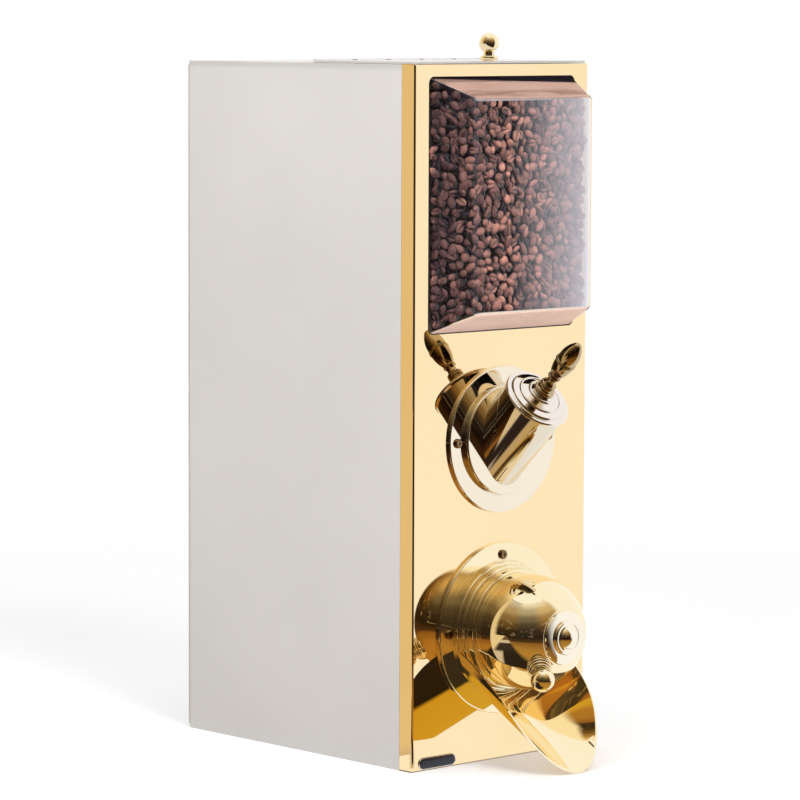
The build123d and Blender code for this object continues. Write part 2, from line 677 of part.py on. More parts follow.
# Gate flange: a round plate with a raised disc, bored at the barrel's angle
with BuildPart() as gate_flange:
    with BuildSketch(facing(GATE_Z)):
        Circle(GATE_FLANGE_RADIUS)
        with Locations(*gate_spots):
            Circle(SCREW_RADIUS + JOINT_GAP, mode=Mode.SUBTRACT)
    extrude(amount=FITTING_PLATE)
    fillet(gate_flange.faces().sort_by(Axis.Y)[0].outer_wire().edges(), FITTING_PLATE * 0.4)
    with BuildSketch(facing(GATE_Z, FITTING_PLATE)):
        Circle(GATE_DISC_RADIUS)
    extrude(amount=GATE_DISC)
    fillet(gate_flange.faces().sort_by(Axis.Y)[0].edges(), GATE_DISC * 0.3)
    with BuildSketch(across_gate(0)):
        Circle(BARREL_RADIUS + RUNNING_GAP)
    extrude(amount=3 * BARREL_RADIUS, both=True, mode=Mode.SUBTRACT)
save(gate_flange, "gate_flange")

screw_length = FITTING_PLATE + FRONT_SHEET + NUT_HEIGHT + 1
gate_screws = pan_screws(facing(GATE_Z, FITTING_PLATE), gate_spots, screw_length)
save(gate_screws, "gate_screws")

gate_nut_seat = Plane(origin=(0, FRONT + FRONT_SHEET, GATE_Z), x_dir=(1, 0, 0), z_dir=(0, 1, 0))
gate_nuts = hex_nuts(gate_nut_seat, gate_spots, SCREW_RADIUS + RUNNING_GAP)
save(gate_nuts, "gate_nuts")

# Barrel: one tube from the duct's upper wall, through the panel and the flange, to the cap
with BuildPart() as gate_barrel:
    with BuildSketch(across_gate(BARREL_FOOT)):
        Circle(BARREL_RADIUS)
        Circle(BARREL_BORE, mode=Mode.SUBTRACT)
    extrude(amount=BARREL_REACH - BARREL_FOOT)
save(gate_barrel, "gate_barrel")

# Cap: a rounded lip, a cove, two sloping steps with beads, and a plug down the barrel
cap_plug = 5.0
cap_lip = 3.0
with BuildPart() as gate_cap:
    with BuildSketch(gate_side):
        with BuildLine():
            plug = Polyline(
                (BARREL_REACH - cap_plug, BUSH_RADIUS + RUNNING_GAP),
                (BARREL_REACH - cap_plug, BARREL_BORE - RUNNING_GAP),
                (BARREL_REACH, BARREL_BORE - RUNNING_GAP),
                (BARREL_REACH, CAP_LIP_RADIUS - 0.6),
            )
            lip = ThreePointArc(
                plug @ 1,
                (BARREL_REACH + cap_lip / 2, CAP_LIP_RADIUS),
                (BARREL_REACH + cap_lip, CAP_LIP_RADIUS - 0.8),
            )
            ledge = Line(lip @ 1, (BARREL_REACH + cap_lip, CAP_LIP_RADIUS - 4))
            cove = ThreePointArc(
                ledge @ 1,
                (BARREL_REACH + cap_lip + 0.5, CAP_LIP_RADIUS - 5),
                (BARREL_REACH + cap_lip + 2, CAP_LIP_RADIUS - 5.6),
            )
            slope = Line(cove @ 1, (BARREL_REACH + cap_lip + 3.4, CAP_LIP_RADIUS - 10.6))
            bead = ThreePointArc(
                slope @ 1,
                (BARREL_REACH + cap_lip + 4.8, CAP_LIP_RADIUS - 11.2),
                (BARREL_REACH + cap_lip + 4.4, CAP_LIP_RADIUS - 12.6),
            )
            second_slope = Line(bead @ 1, (BARREL_REACH + cap_lip + 6.4, CAP_LIP_RADIUS - 17.8))
            second_bead = ThreePointArc(
                second_slope @ 1,
                (BARREL_REACH + cap_lip + 8.0, CAP_LIP_RADIUS - 18.4),
                (BARREL_REACH + cap_lip + 8.2, CAP_LIP_RADIUS - 20.0),
            )
            Polyline(
                second_bead @ 1,
                (BARREL_REACH + CAP_HEIGHT, HANDLE_FOOT_RADIUS),
                (BARREL_REACH + CAP_HEIGHT, ROD_RADIUS + SLIDING_GAP),
                (BARREL_REACH + BUSH_LENGTH / 2, ROD_RADIUS + SLIDING_GAP),
                (BARREL_REACH + BUSH_LENGTH / 2, BUSH_RADIUS + RUNNING_GAP),
                plug @ 0,
            )
        make_face()
    revolve(axis=gate_axis)
save(gate_cap, "gate_cap")

# Bush of the rod, flanged against the cap's plug
bush_foot = BARREL_REACH - BUSH_LENGTH / 2
with BuildPart() as gate_bush:
    with BuildSketch(across_gate(bush_foot)):
        Circle(BUSH_RADIUS)
    extrude(amount=BUSH_LENGTH - JOINT_GAP)
    with BuildSketch(across_gate(bush_foot)):
        Circle(BUSH_FLANGE_RADIUS)
    extrude(amount=BUSH_LENGTH / 2 - cap_plug)
    with BuildSketch(across_gate(bush_foot)):
        Circle(ROD_RADIUS + RUNNING_GAP)
    extrude(amount=BUSH_LENGTH, mode=Mode.SUBTRACT)
save(gate_bush, "gate_bush")

# Rod: from the nut under the piston to a stub inside the handle
nut_recess = NUT_HEIGHT * 2
rod_foot = PISTON_END + 1
with BuildPart() as gate_rod:
    with BuildSketch(across_gate(rod_foot)):
        Circle(ROD_RADIUS)
    extrude(amount=HANDLE_SEAT - rod_foot)
    with BuildSketch(across_gate(HANDLE_SEAT)):
        Circle(ROD_STUB_RADIUS)
    extrude(amount=ROD_STUB)
    chamfer(gate_rod.faces().sort_by(gate_axis)[0].edges(), ROD_RADIUS / 5)
save(gate_rod, "gate_rod")

# Piston that closes the duct, with a recess for its nut
with BuildPart() as gate_piston:
    with BuildSketch(across_gate(PISTON_END)):
        Circle(BARREL_BORE - SLIDING_GAP)
    extrude(amount=PISTON_LENGTH)
    chamfer(gate_piston.edges().filter_by(GeomType.CIRCLE), 1)
    with BuildSketch(across_gate(PISTON_END)):
        Circle(2 * NUT_RADIUS + 3)
    extrude(amount=nut_recess, mode=Mode.SUBTRACT)
    with BuildSketch(across_gate(PISTON_END)):
        Circle(ROD_RADIUS + RUNNING_GAP)
    extrude(amount=PISTON_LENGTH, mode=Mode.SUBTRACT)
save(gate_piston, "gate_piston")

with BuildPart() as piston_nut:
    with BuildSketch(across_gate(PISTON_END + nut_recess)):
        RegularPolygon(2 * NUT_RADIUS + 1, 6)
        Circle(ROD_RADIUS + RUNNING_GAP, mode=Mode.SUBTRACT)
    extrude(amount=-NUT_HEIGHT * 1.5)
save(piston_nut, "piston_nut")

# Collar on the rod that meets the bush when the gate is fully out
with BuildPart() as gate_stop_collar:
    with BuildSketch(across_gate(bush_foot - GATE_TRAVEL - SLIDING_GAP)):
        Circle(COLLAR_RADIUS)
        Circle(ROD_RADIUS + RUNNING_GAP, mode=Mode.SUBTRACT)
    extrude(amount=-COLLAR_LENGTH)
    chamfer(gate_stop_collar.edges().filter_by(GeomType.CIRCLE).group_by(gate_axis)[-1], 0.8)
save(gate_stop_collar, "gate_stop_collar")

# Handle: a turned foot, two beads, a slim waist, a neck ring and a drop-shaped bulb
foot_end = HANDLE_SEAT + 2.2
beads_start = HANDLE_SEAT + 5.0
bead_length = 2.4
waist_end = HANDLE_SEAT + 16.6
bulb_start = waist_end + bead_length
bulb_ring = HANDLE_SEAT + 36.0
groove = 1.6
handle_tip = HANDLE_SEAT + HANDLE_LENGTH
bead_root = HANDLE_BEAD_RADIUS - 1.0
neck_root = HANDLE_NECK_RADIUS - 1.2
with BuildPart() as gate_handle:
    with BuildSketch(gate_side):
        with BuildLine():
            foot = ThreePointArc(
                (HANDLE_SEAT, HANDLE_FOOT_RADIUS - 0.6),
                (HANDLE_SEAT + 1.1, HANDLE_FOOT_RADIUS),
                (foot_end, HANDLE_FOOT_RADIUS - 0.7),
            )
            cup = ThreePointArc(
                foot @ 1,
                (foot_end + 0.7, bead_root + 0.5),
                (beads_start, bead_root - 0.3),
            )
            bead_one = ThreePointArc(
                cup @ 1,
                (beads_start + bead_length / 2, HANDLE_BEAD_RADIUS),
                (beads_start + bead_length, bead_root),
            )
            bead_two = ThreePointArc(
                bead_one @ 1,
                (beads_start + 1.5 * bead_length, HANDLE_BEAD_RADIUS - 0.2),
                (beads_start + 2 * bead_length, bead_root - 0.4),
            )
            waist = ThreePointArc(
                bead_two @ 1,
                ((bead_two @ 1).X * 0.5 + waist_end * 0.5, HANDLE_WAIST_RADIUS),
                (waist_end, neck_root),
            )
            neck_ring = ThreePointArc(
                waist @ 1,
                (waist_end + bead_length / 2, HANDLE_NECK_RADIUS),
                (bulb_start, neck_root),
            )
            swell = ThreePointArc(
                neck_ring @ 1,
                (bulb_start * 0.5 + bulb_ring * 0.5, HANDLE_BULB_RADIUS - 1.4),
                (bulb_ring, HANDLE_BULB_RADIUS - 0.3),
            )
            ring_one = ThreePointArc(
                swell @ 1,
                (bulb_ring + groove / 2, HANDLE_BULB_RADIUS + 0.3),
                (bulb_ring + groove, HANDLE_BULB_RADIUS - 0.4),
            )
            ring_two = ThreePointArc(
                ring_one @ 1,
                (bulb_ring + 1.5 * groove, HANDLE_BULB_RADIUS + 0.1),
                (bulb_ring + 2 * groove, HANDLE_BULB_RADIUS - 0.6),
            )
            nose = CenterArc((handle_tip - HANDLE_NOSE_RADIUS, 0), HANDLE_NOSE_RADIUS, 0, 65)
            taper = ThreePointArc(
                ring_two @ 1,
                (handle_tip * 0.55 + (ring_two @ 1).X * 0.45, HANDLE_BULB_RADIUS - 1.9),
                nose @ 1,
            )
            Polyline(
                nose @ 0,
                (HANDLE_SEAT + ROD_STUB + SLIDING_GAP, 0),
                (HANDLE_SEAT + ROD_STUB + SLIDING_GAP, ROD_STUB_RADIUS + RUNNING_GAP),
                (HANDLE_SEAT, ROD_STUB_RADIUS + RUNNING_GAP),
                foot @ 0,
            )
        make_face()
    revolve(axis=gate_axis)
save(gate_handle, "gate_handle")

# Outlet flange: a round plate with three stepped rings round the fixed sleeve
ring_edge = 1.2
with BuildPart() as outlet_flange:
    with BuildSketch(facing(OUTLET_Z)):
        Circle(OUTLET_FLANGE_RADIUS)
        with Locations(*outlet_spots):
            Circle(SCREW_RADIUS + JOINT_GAP, mode=Mode.SUBTRACT)
    extrude(amount=FITTING_PLATE)
    fillet(outlet_flange.faces().sort_by(Axis.Y)[0].outer_wire().edges(), ring_edge)
    for radius, foot, rise in (
        (RING_RADIUS, FITTING_PLATE, RING_RISE),
        (RING_RADIUS - RING_STEP, FITTING_PLATE + RING_RISE, RING_RISE),
        (RING_RADIUS - 2 * RING_STEP + 0.5, FITTING_PLATE + 2 * RING_RISE, LAST_RING_RISE),
    ):
        with BuildSketch(facing(OUTLET_Z, foot)):
            Circle(radius)
        extrude(amount=rise)
        fillet(outlet_flange.faces().sort_by(Axis.Y)[0].edges(), ring_edge)
    with BuildSketch(facing(OUTLET_Z)):
        Circle(SLEEVE_RADIUS + RUNNING_GAP)
    extrude(amount=RINGS_FRONT, mode=Mode.SUBTRACT)
save(outlet_flange, "outlet_flange")

duct_stack = FITTING_PLATE + 2 * FRONT_SHEET
outlet_screws = pan_screws(
    facing(OUTLET_Z, FITTING_PLATE), outlet_spots, duct_stack + NUT_HEIGHT + 1
)
save(outlet_screws, "outlet_screws")

outlet_nut_seat = Plane(
    origin=(0, FRONT + 2 * FRONT_SHEET, OUTLET_Z), x_dir=(1, 0, 0), z_dir=(0, 1, 0)
)
outlet_nuts = hex_nuts(outlet_nut_seat, outlet_spots, SCREW_RADIUS + RUNNING_GAP)
save(outlet_nuts, "outlet_nuts")

# Fixed sleeve: closed in front, with the bean port below
with BuildPart() as outlet_sleeve:
    with BuildSketch(facing(OUTLET_Z, SLEEVE_BACK)):
        Circle(SLEEVE_RADIUS)
    extrude(amount=SLEEVE_REACH - SLEEVE_BACK)
    with BuildSketch(facing(OUTLET_Z, SLEEVE_BACK)):
        Circle(SLEEVE_BORE)
    extrude(amount=SLEEVE_FACE - SLEEVE_BACK, mode=Mode.SUBTRACT)
    with BuildSketch(facing(OUTLET_Z, SLEEVE_REACH)):
        Circle(BUSH_RADIUS + RUNNING_GAP)
    extrude(amount=-2 * HOOD_WALL, mode=Mode.SUBTRACT)
    with BuildSketch(Plane.XY.offset(OUTLET_Z)):
        with Locations((0, FRONT - PORT_CENTRE)):
            RectangleRounded(PORT_WIDTH, PORT_LENGTH, HOOD_WALL)
    extrude(amount=-HOOD_RADIUS, mode=Mode.SUBTRACT)
save(outlet_sleeve, "outlet_sleeve")

# Bush of the spindle in the sleeve's front wall
spindle_bush_back = SLEEVE_FACE - 6.0
spindle_bush_front = SLEEVE_REACH + HOOD_WALL
with BuildPart() as spindle_bush:
    with BuildSketch(facing(OUTLET_Z, spindle_bush_back)):
        Circle(BUSH_RADIUS)
    extrude(amount=spindle_bush_front - spindle_bush_back)
    with BuildSketch(facing(OUTLET_Z, SLEEVE_REACH)):
        Circle(BUSH_FLANGE_RADIUS)
    extrude(amount=spindle_bush_front - SLEEVE_REACH)
    with BuildSketch(facing(OUTLET_Z, spindle_bush_back)):
        Circle(SPINDLE_RADIUS + RUNNING_GAP)
    extrude(amount=spindle_bush_front, mode=Mode.SUBTRACT)
save(spindle_bush, "spindle_bush")

# Stop pins on the sleeve's front wall, one for each end of the hood's turn
stop_margin = degrees(
    asin((STOP_ARM_WIDTH / 2 + STOP_PIN_RADIUS + SLIDING_GAP) / STOP_CIRCLE)
)
stop_turns = (radians(90 + stop_margin), radians(90 - HOOD_TURN - stop_margin))
with BuildPart() as hood_stop_pins:
    with BuildSketch(facing(OUTLET_Z, SLEEVE_REACH)):
        for turn in stop_turns:
            with Locations((STOP_CIRCLE * cos(turn), STOP_CIRCLE * sin(turn))):
                Circle(STOP_PIN_RADIUS)
    extrude(amount=STOP_PIN)
save(hood_stop_pins, "hood_stop_pins")

arm_back = spindle_bush_front + SLIDING_GAP
with BuildPart() as hood_stop_arm:
    with BuildSketch(facing(OUTLET_Z, arm_back)):
        Circle(BUSH_FLANGE_RADIUS)
        with Locations((0, 0)):
            Rectangle(
                STOP_ARM_WIDTH, STOP_CIRCLE + STOP_PIN_RADIUS, align=(Align.CENTER, Align.MIN)
            )
        Circle(SPINDLE_RADIUS + RUNNING_GAP, mode=Mode.SUBTRACT)
    extrude(amount=STOP_ARM)
save(hood_stop_arm, "hood_stop_arm")

# Hood: a short drum that ends in a dome with a flat nose, and a port on its right at rest
nose_radius = sqrt(HOOD_RADIUS**2 - (HOOD_NOSE - DOME_CENTRE) ** 2)
inner_nose = HOOD_NOSE - HOOD_WALL
inner_nose_radius = sqrt(HOOD_BORE**2 - (inner_nose - DOME_CENTRE) ** 2)
outer_end = degrees(asin(nose_radius / HOOD_RADIUS))
inner_end = degrees(asin(inner_nose_radius / HOOD_BORE))
sleeve_room = SLEEVE_REACH + SLEEVE_GAP
inner_start = degrees(acos((sleeve_room - DOME_CENTRE) / HOOD_BORE))
with BuildPart() as outlet_hood:
    with BuildSketch(outlet_side):
        with BuildLine():
            drum = Line((HOOD_BACK, HOOD_RADIUS), (DOME_CENTRE, HOOD_RADIUS))
            dome = CenterArc((DOME_CENTRE, 0), HOOD_RADIUS, 90, outer_end - 90)
            inner_dome = CenterArc(
                (DOME_CENTRE, 0), HOOD_BORE, inner_end, inner_start - inner_end
            )
            Polyline(
                dome @ 1,
                (HOOD_NOSE, SPINDLE_STUB + RUNNING_GAP),
                (inner_nose, SPINDLE_STUB + RUNNING_GAP),
                inner_dome @ 0,
            )
            Polyline(
                inner_dome @ 1,
                (sleeve_room, HOOD_BORE),
                (HOOD_BACK, HOOD_BORE),
                drum @ 0,
            )
        make_face()
    revolve(axis=outlet_axis)
    with BuildSketch(outlet_side):
        with Locations((PORT_CENTRE, 0)):
            RectangleRounded(
                PORT_LENGTH + 2 * PORT_MARGIN, PORT_WIDTH + 2 * PORT_MARGIN, HOOD_WALL
            )
    extrude(amount=-2 * HOOD_RADIUS, mode=Mode.SUBTRACT)
ball_lean = radians(BALL_TILT)
ball_turn = radians(BALL_CLOCK)
dome_centre = Vector(0, FRONT - DOME_CENTRE, OUTLET_Z)
ball_dir = Vector(
    sin(ball_lean) * sin(ball_turn), -cos(ball_lean), sin(ball_lean) * cos(ball_turn)
)
ball_axis = Axis(dome_centre, ball_dir)
ball_side = Plane(origin=dome_centre, x_dir=ball_dir, z_dir=ball_dir.cross(Vector(0, 0, 1)))
ball_base = Plane(origin=dome_centre, z_dir=ball_dir)
with outlet_hood:
    with BuildSketch(ball_base):
        Circle(SCREW_RADIUS + JOINT_GAP)
    extrude(amount=2 * HOOD_RADIUS, mode=Mode.SUBTRACT)
save(outlet_hood, "outlet_hood")

# Spindle: turns in the bush, carries the hood on its shoulder and the boss on its stub
spindle_back = spindle_bush_back - 8.0
boss_bore = HOOD_NOSE + NOSE_DISC + BOSS_HEIGHT * 0.6
with BuildPart() as hood_spindle:
    with BuildSketch(facing(OUTLET_Z, spindle_back)):
        Circle(SPINDLE_RADIUS)
    extrude(amount=inner_nose - spindle_back)
    with BuildSketch(facing(OUTLET_Z, inner_nose)):
        Circle(SPINDLE_SHOULDER)
    extrude(amount=-2 * HOOD_WALL)
    with BuildSketch(facing(OUTLET_Z, inner_nose)):
        Circle(SPINDLE_STUB)
    extrude(amount=boss_bore - inner_nose - SLIDING_GAP)
save(hood_spindle, "hood_spindle")

with BuildPart() as spindle_washer:
    with BuildSketch(facing(OUTLET_Z, spindle_bush_back - SLIDING_GAP)):
        Circle(BUSH_FLANGE_RADIUS)
        Circle(SPINDLE_RADIUS + RUNNING_GAP, mode=Mode.SUBTRACT)
    extrude(amount=-SHEET)
save(spindle_washer, "spindle_washer")

with BuildPart() as spindle_nut:
    with BuildSketch(facing(OUTLET_Z, spindle_bush_back - SLIDING_GAP - SHEET)):
        RegularPolygon(2 * NUT_RADIUS + 1, 6)
        Circle(SPINDLE_RADIUS + RUNNING_GAP, mode=Mode.SUBTRACT)
    extrude(amount=-NUT_HEIGHT * 1.5)
save(spindle_nut, "spindle_nut")

# Nose of the hood: a slightly domed disc and a stepped boss that holds it
disc_crown = NOSE_DISC * 0.5
with BuildPart() as hood_nose_disc:
    with BuildSketch(outlet_side):
        with BuildLine():
            edge = Polyline(
                (HOOD_NOSE + NOSE_DISC + disc_crown, BOSS_RADIUS),
                (HOOD_NOSE + NOSE_DISC + disc_crown, SPINDLE_STUB + RUNNING_GAP),
                (HOOD_NOSE, SPINDLE_STUB + RUNNING_GAP),
                (HOOD_NOSE, NOSE_DISC_RADIUS),
                (HOOD_NOSE + NOSE_DISC, NOSE_DISC_RADIUS - 0.4),
            )
            ThreePointArc(
                edge @ 1,
                (
                    HOOD_NOSE + NOSE_DISC + disc_crown * 0.7,
                    (NOSE_DISC_RADIUS + BOSS_RADIUS) / 2,
                ),
                edge @ 0,
            )
        make_face()
    revolve(axis=outlet_axis)
save(hood_nose_disc, "hood_nose_disc")

boss_foot = HOOD_NOSE + NOSE_DISC + disc_crown
boss_tip = boss_foot + BOSS_HEIGHT
button_base = (boss_foot + 4.4, BOSS_RADIUS * 0.6)
button_rise = boss_tip - button_base[0]
button_radius = (button_base[1] ** 2 + button_rise**2) / (2 * button_rise)
button_angle = degrees(asin(button_base[1] / button_radius))
with BuildPart() as hood_boss:
    with BuildSketch(outlet_side):
        with BuildLine():
            skirt = Line((boss_foot, BOSS_RADIUS), (boss_foot + 1.4, BOSS_RADIUS))
            roll = ThreePointArc(
                skirt @ 1,
                (boss_foot + 2.4, BOSS_RADIUS - 0.7),
                (boss_foot + 2.8, BOSS_RADIUS - 2.2),
            )
            hollow = ThreePointArc(
                roll @ 1,
                (boss_foot + 3.2, BOSS_RADIUS * 0.68),
                button_base,
            )
            button = CenterArc((boss_tip - button_radius, 0), button_radius, 0, button_angle)
            Polyline(
                button @ 0,
                (boss_bore, 0),
                (boss_bore, SPINDLE_STUB + RUNNING_GAP),
                (boss_foot, SPINDLE_STUB + RUNNING_GAP),
                skirt @ 0,
            )
        make_face()
    revolve(axis=outlet_axis)
save(hood_boss, "hood_boss")

# Ball knob on three stacked rings, cut to sit on the dome
foot_low = HOOD_RADIUS - 2 * HOOD_WALL
foot_one = HOOD_RADIUS + BALL_FOOT_STEP
foot_two = foot_one + BALL_FOOT_STEP
foot_three = foot_two + BALL_FOOT_STEP * 0.8
ball_neck = BALL_RADIUS * 0.5
ball_neck_angle = degrees(asin(ball_neck / BALL_RADIUS))
ball_bore = BALL_DISTANCE - BALL_RADIUS * 0.4
with BuildPart() as hood_knob:
    with BuildSketch(ball_side):
        with BuildLine():
            ring_low = Line((foot_low, BALL_FOOT_RADIUS - 0.5), (HOOD_RADIUS, BALL_FOOT_RADIUS - 0.5))
            ring_a = ThreePointArc(
                ring_low @ 1,
                (HOOD_RADIUS + BALL_FOOT_STEP / 2, BALL_FOOT_RADIUS),
                (foot_one, BALL_FOOT_RADIUS - 1.2),
            )
            ring_b = ThreePointArc(
                ring_a @ 1,
                (foot_one + BALL_FOOT_STEP / 2, BALL_FOOT_RADIUS - 0.9),
                (foot_two, BALL_FOOT_RADIUS - 2.4),
            )
            ring_c = ThreePointArc(
                ring_b @ 1,
                (foot_two + BALL_FOOT_STEP * 0.4, BALL_FOOT_RADIUS - 2.2),
                (foot_three, BALL_FOOT_RADIUS - 4.6),
            )
            ball = CenterArc(
                (BALL_DISTANCE, 0), BALL_RADIUS, 180 - ball_neck_angle, ball_neck_angle - 180
            )
            neck = Line(ring_c @ 1, ball @ 0)
            Polyline(
                ball @ 1,
                (ball_bore, 0),
                (ball_bore, SCREW_RADIUS + RUNNING_GAP),
                (foot_low, SCREW_RADIUS + RUNNING_GAP),
                ring_low @ 0,
            )
        make_face()
    revolve(axis=ball_axis)
    with Locations(dome_centre):
        Sphere(HOOD_RADIUS + RUNNING_GAP, mode=Mode.SUBTRACT)
save(hood_knob, "hood_knob")

knob_screw_seat = HOOD_BORE - 2 * RUNNING_GAP - SCREW_HEAD_RADIUS**2 / (2 * HOOD_BORE)
with BuildPart() as hood_knob_screw:
    with BuildSketch(ball_base.offset(knob_screw_seat)):
        Circle(SCREW_HEAD_RADIUS)
    extrude(amount=-SCREW_HEAD)
    with BuildSketch(ball_base.offset(knob_screw_seat)):
        Circle(SCREW_RADIUS)
    extrude(amount=ball_bore - knob_screw_seat - SLIDING_GAP)
save(hood_knob_screw, "hood_knob_screw")

# Chute: a tube that slopes down and forward, cut by the long curve of its rim
chute_start_z = OUTLET_Z - CHUTE_RADIUS
chute_lean = atan2(chute_start_z - CHUTE_TIP_Z, CHUTE_REACH - FITTING_PLATE)
chute_dir = Vector(0, -cos(chute_lean), -sin(chute_lean))
chute_foot = Vector(0, FRONT - FITTING_PLATE, chute_start_z)
chute_axis_point = chute_foot + Vector(0, -sin(chute_lean), cos(chute_lean)) * CHUTE_RADIUS
rim_tip = (CHUTE_REACH, CHUTE_TIP_Z)
rim_dir = (-cos(radians(RIM_TIP_ANGLE)), sin(radians(RIM_TIP_ANGLE)))
rim_bend = (rim_tip[0] + RIM_STRAIGHT * rim_dir[0], rim_tip[1] + RIM_STRAIGHT * rim_dir[1])
rim_foot = (RIM_FOOT_PROUD, OUTLET_Z - RIM_FOOT_DROP)
with BuildPart() as chute:
    with BuildSketch(Plane(origin=chute_axis_point, x_dir=(1, 0, 0), z_dir=chute_dir)):
        Circle(CHUTE_RADIUS)
        Circle(CHUTE_RADIUS - CHUTE_SHEET, mode=Mode.SUBTRACT)
    extrude(amount=2 * CHUTE_REACH, both=True)
    with BuildSketch(side_view(0)):
        with BuildLine():
            straight = Line(rim_tip, rim_bend)
            sweep_up = TangentArc(rim_bend, rim_foot, tangent=rim_dir)
            Polyline(
                sweep_up @ 1,
                (FITTING_PLATE, OUTLET_Z - RIM_FOOT_DROP),
                (FITTING_PLATE, 0),
                (CHUTE_REACH, 0),
                straight @ 0,
            )
        make_face()
    extrude(amount=2 * CHUTE_RADIUS, both=True, mode=Mode.INTERSECT)
    with BuildSketch(facing(OUTLET_Z)):
        Circle(RING_RADIUS + RUNNING_GAP)
    extrude(amount=FITTING_PLATE + RING_RISE + RUNNING_GAP, mode=Mode.SUBTRACT)
save(chute, "chute")

print("gate axis crosses the duct", round(cross_depth, 2), "mm behind the panel's face")
print("gate travel axis passes", tuple(round(value, 3) for value in gate_origin))
print("height", HEIGHT, "hinge", round(HINGE_Y, 2), round(HINGE_Z, 2))
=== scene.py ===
import random
from math import cos, hypot, pi, radians, sin, sqrt, tau

import bmesh
import bpy
from bpy.types import Operator, Panel, PropertyGroup
from mathutils import Matrix, Vector, noise


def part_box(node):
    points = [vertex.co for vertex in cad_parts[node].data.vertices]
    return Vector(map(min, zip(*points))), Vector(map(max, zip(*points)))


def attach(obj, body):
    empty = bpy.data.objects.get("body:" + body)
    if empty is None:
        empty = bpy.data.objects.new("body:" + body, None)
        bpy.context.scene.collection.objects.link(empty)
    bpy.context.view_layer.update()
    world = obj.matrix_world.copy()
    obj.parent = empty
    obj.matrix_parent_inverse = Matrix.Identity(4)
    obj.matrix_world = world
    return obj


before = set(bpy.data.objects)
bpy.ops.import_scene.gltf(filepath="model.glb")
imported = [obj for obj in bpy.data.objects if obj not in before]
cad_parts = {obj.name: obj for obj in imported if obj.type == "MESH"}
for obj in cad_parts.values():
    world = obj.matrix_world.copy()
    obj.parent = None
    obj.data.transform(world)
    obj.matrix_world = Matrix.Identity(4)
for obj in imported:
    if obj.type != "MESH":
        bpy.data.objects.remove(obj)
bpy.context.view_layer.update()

bl_info = {
    "name": "Coffee bean dispenser",
    "version": (1, 0, 0),
    "blender": (4, 5, 0),
    "location": "View3D > Sidebar > Dispenser",
    "description": "Finishes, beans, badge plate and studio for a counter-top bean dispenser",
    "category": "Object",
}

PANEL_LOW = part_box("front_panel")[0]
BUBBLE_LOW, BUBBLE_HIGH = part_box("window_bubble")
HOPPER_LOW, HOPPER_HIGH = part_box("hopper_body")
HOPPER_HALF = (HOPPER_HIGH.x - HOPPER_LOW.x) / 2
PANEL_FACE = PANEL_LOW.y
LIP = 0.008
WINDOW_HALF = (BUBBLE_HIGH.x - BUBBLE_LOW.x) / 2 - LIP
WINDOW_TOP = BUBBLE_HIGH.z - LIP
WINDOW_BOTTOM = BUBBLE_LOW.z + LIP
WINDOW_Z = (WINDOW_TOP + WINDOW_BOTTOM) / 2
WINDOW_RISE = (WINDOW_TOP - WINDOW_BOTTOM) / 2
BUBBLE_PROUD = PANEL_FACE - BUBBLE_LOW.y
ACRYLIC = 0.003
BUBBLE_EDGE = 0.003
BUBBLE_GAP = 0.0005
SKIN = 0.0006
SIDE_SLOPE = 0.0185
END_SLOPE = 0.017
FACE_HALF = WINDOW_HALF - SIDE_SLOPE
WHITE = (1.0, 1.0, 1.0)
BLACK = (0.0, 0.0, 0.0)


# Settings a user would change


def colour(name, description, default):
    """Colour property in linear values."""
    return bpy.props.FloatVectorProperty(
        name=name, description=description, default=default, size=3, subtype="COLOR", min=0, max=1
    )


def number(name, description, default, **limits):
    """Number property, with its limits and its unit."""
    return bpy.props.FloatProperty(name=name, description=description, default=default, **limits)


def length(name, description, default):
    """Length property in metres."""
    return number(name, description, default, min=0, precision=4, unit="LENGTH")


class DispenserFinishes(PropertyGroup):
    panel_gold: colour("Panel gold", "Mirror-polished sheet of the front panel", (1.0, 0.805, 0.503))
    pale_brass: colour("Pale brass", "Flange of the gate", (0.93, 0.845, 0.70))
    # Darker copy of the pale brass: painted shade, for the dimmer room that the barrel mirrors
    barrel_brass: colour("Barrel brass", "Barrel of the gate", (0.80, 0.715, 0.575))
    cap_brass: colour("Cap brass", "Stepped cap of the gate", (0.90, 0.83, 0.77))
    aged_brass: colour("Aged brass", "Handle of the gate", (0.57, 0.445, 0.265))
    screw_brass: colour("Screw brass", "Screws of the fittings", (0.30, 0.20, 0.11))
    yellow_brass: colour("Yellow brass", "Turned parts of the outlet", (0.975, 0.855, 0.6))
    white_brass: colour("White brass", "Disc on the nose of the hood", (0.975, 0.9, 0.76))
    bronze: colour("Bronze", "Bushes of the rod and the spindle", (0.62, 0.36, 0.16))
    zinc: colour("Zinc", "Screws, nuts, rivets and rods", (0.66, 0.63, 0.58))
    side_grey: colour("Side grey", "Satin sheet of the sides, lid and back", (0.705, 0.68, 0.66))
    inner_grey: colour("Inner grey", "Bare sheet of the hopper and the base", (0.55, 0.545, 0.535))
    rubber: colour("Rubber", "Gasket of the window", (0.018, 0.017, 0.018))
    nylon: colour("Nylon", "Piston of the gate", (0.78, 0.75, 0.68))
    # The haze glows in the window film as painted glare, and the chaff glows on its bottom wall as
    # painted light
    haze: colour("Haze", "Milky film in the window", (0.66, 0.63, 0.68))
    chaff: colour("Chaff", "Tan bean dust on the window's end walls", (0.44, 0.305, 0.255))
    enamel: colour("Enamel", "Badge plate, left bare", (0.004, 0.006, 0.014))


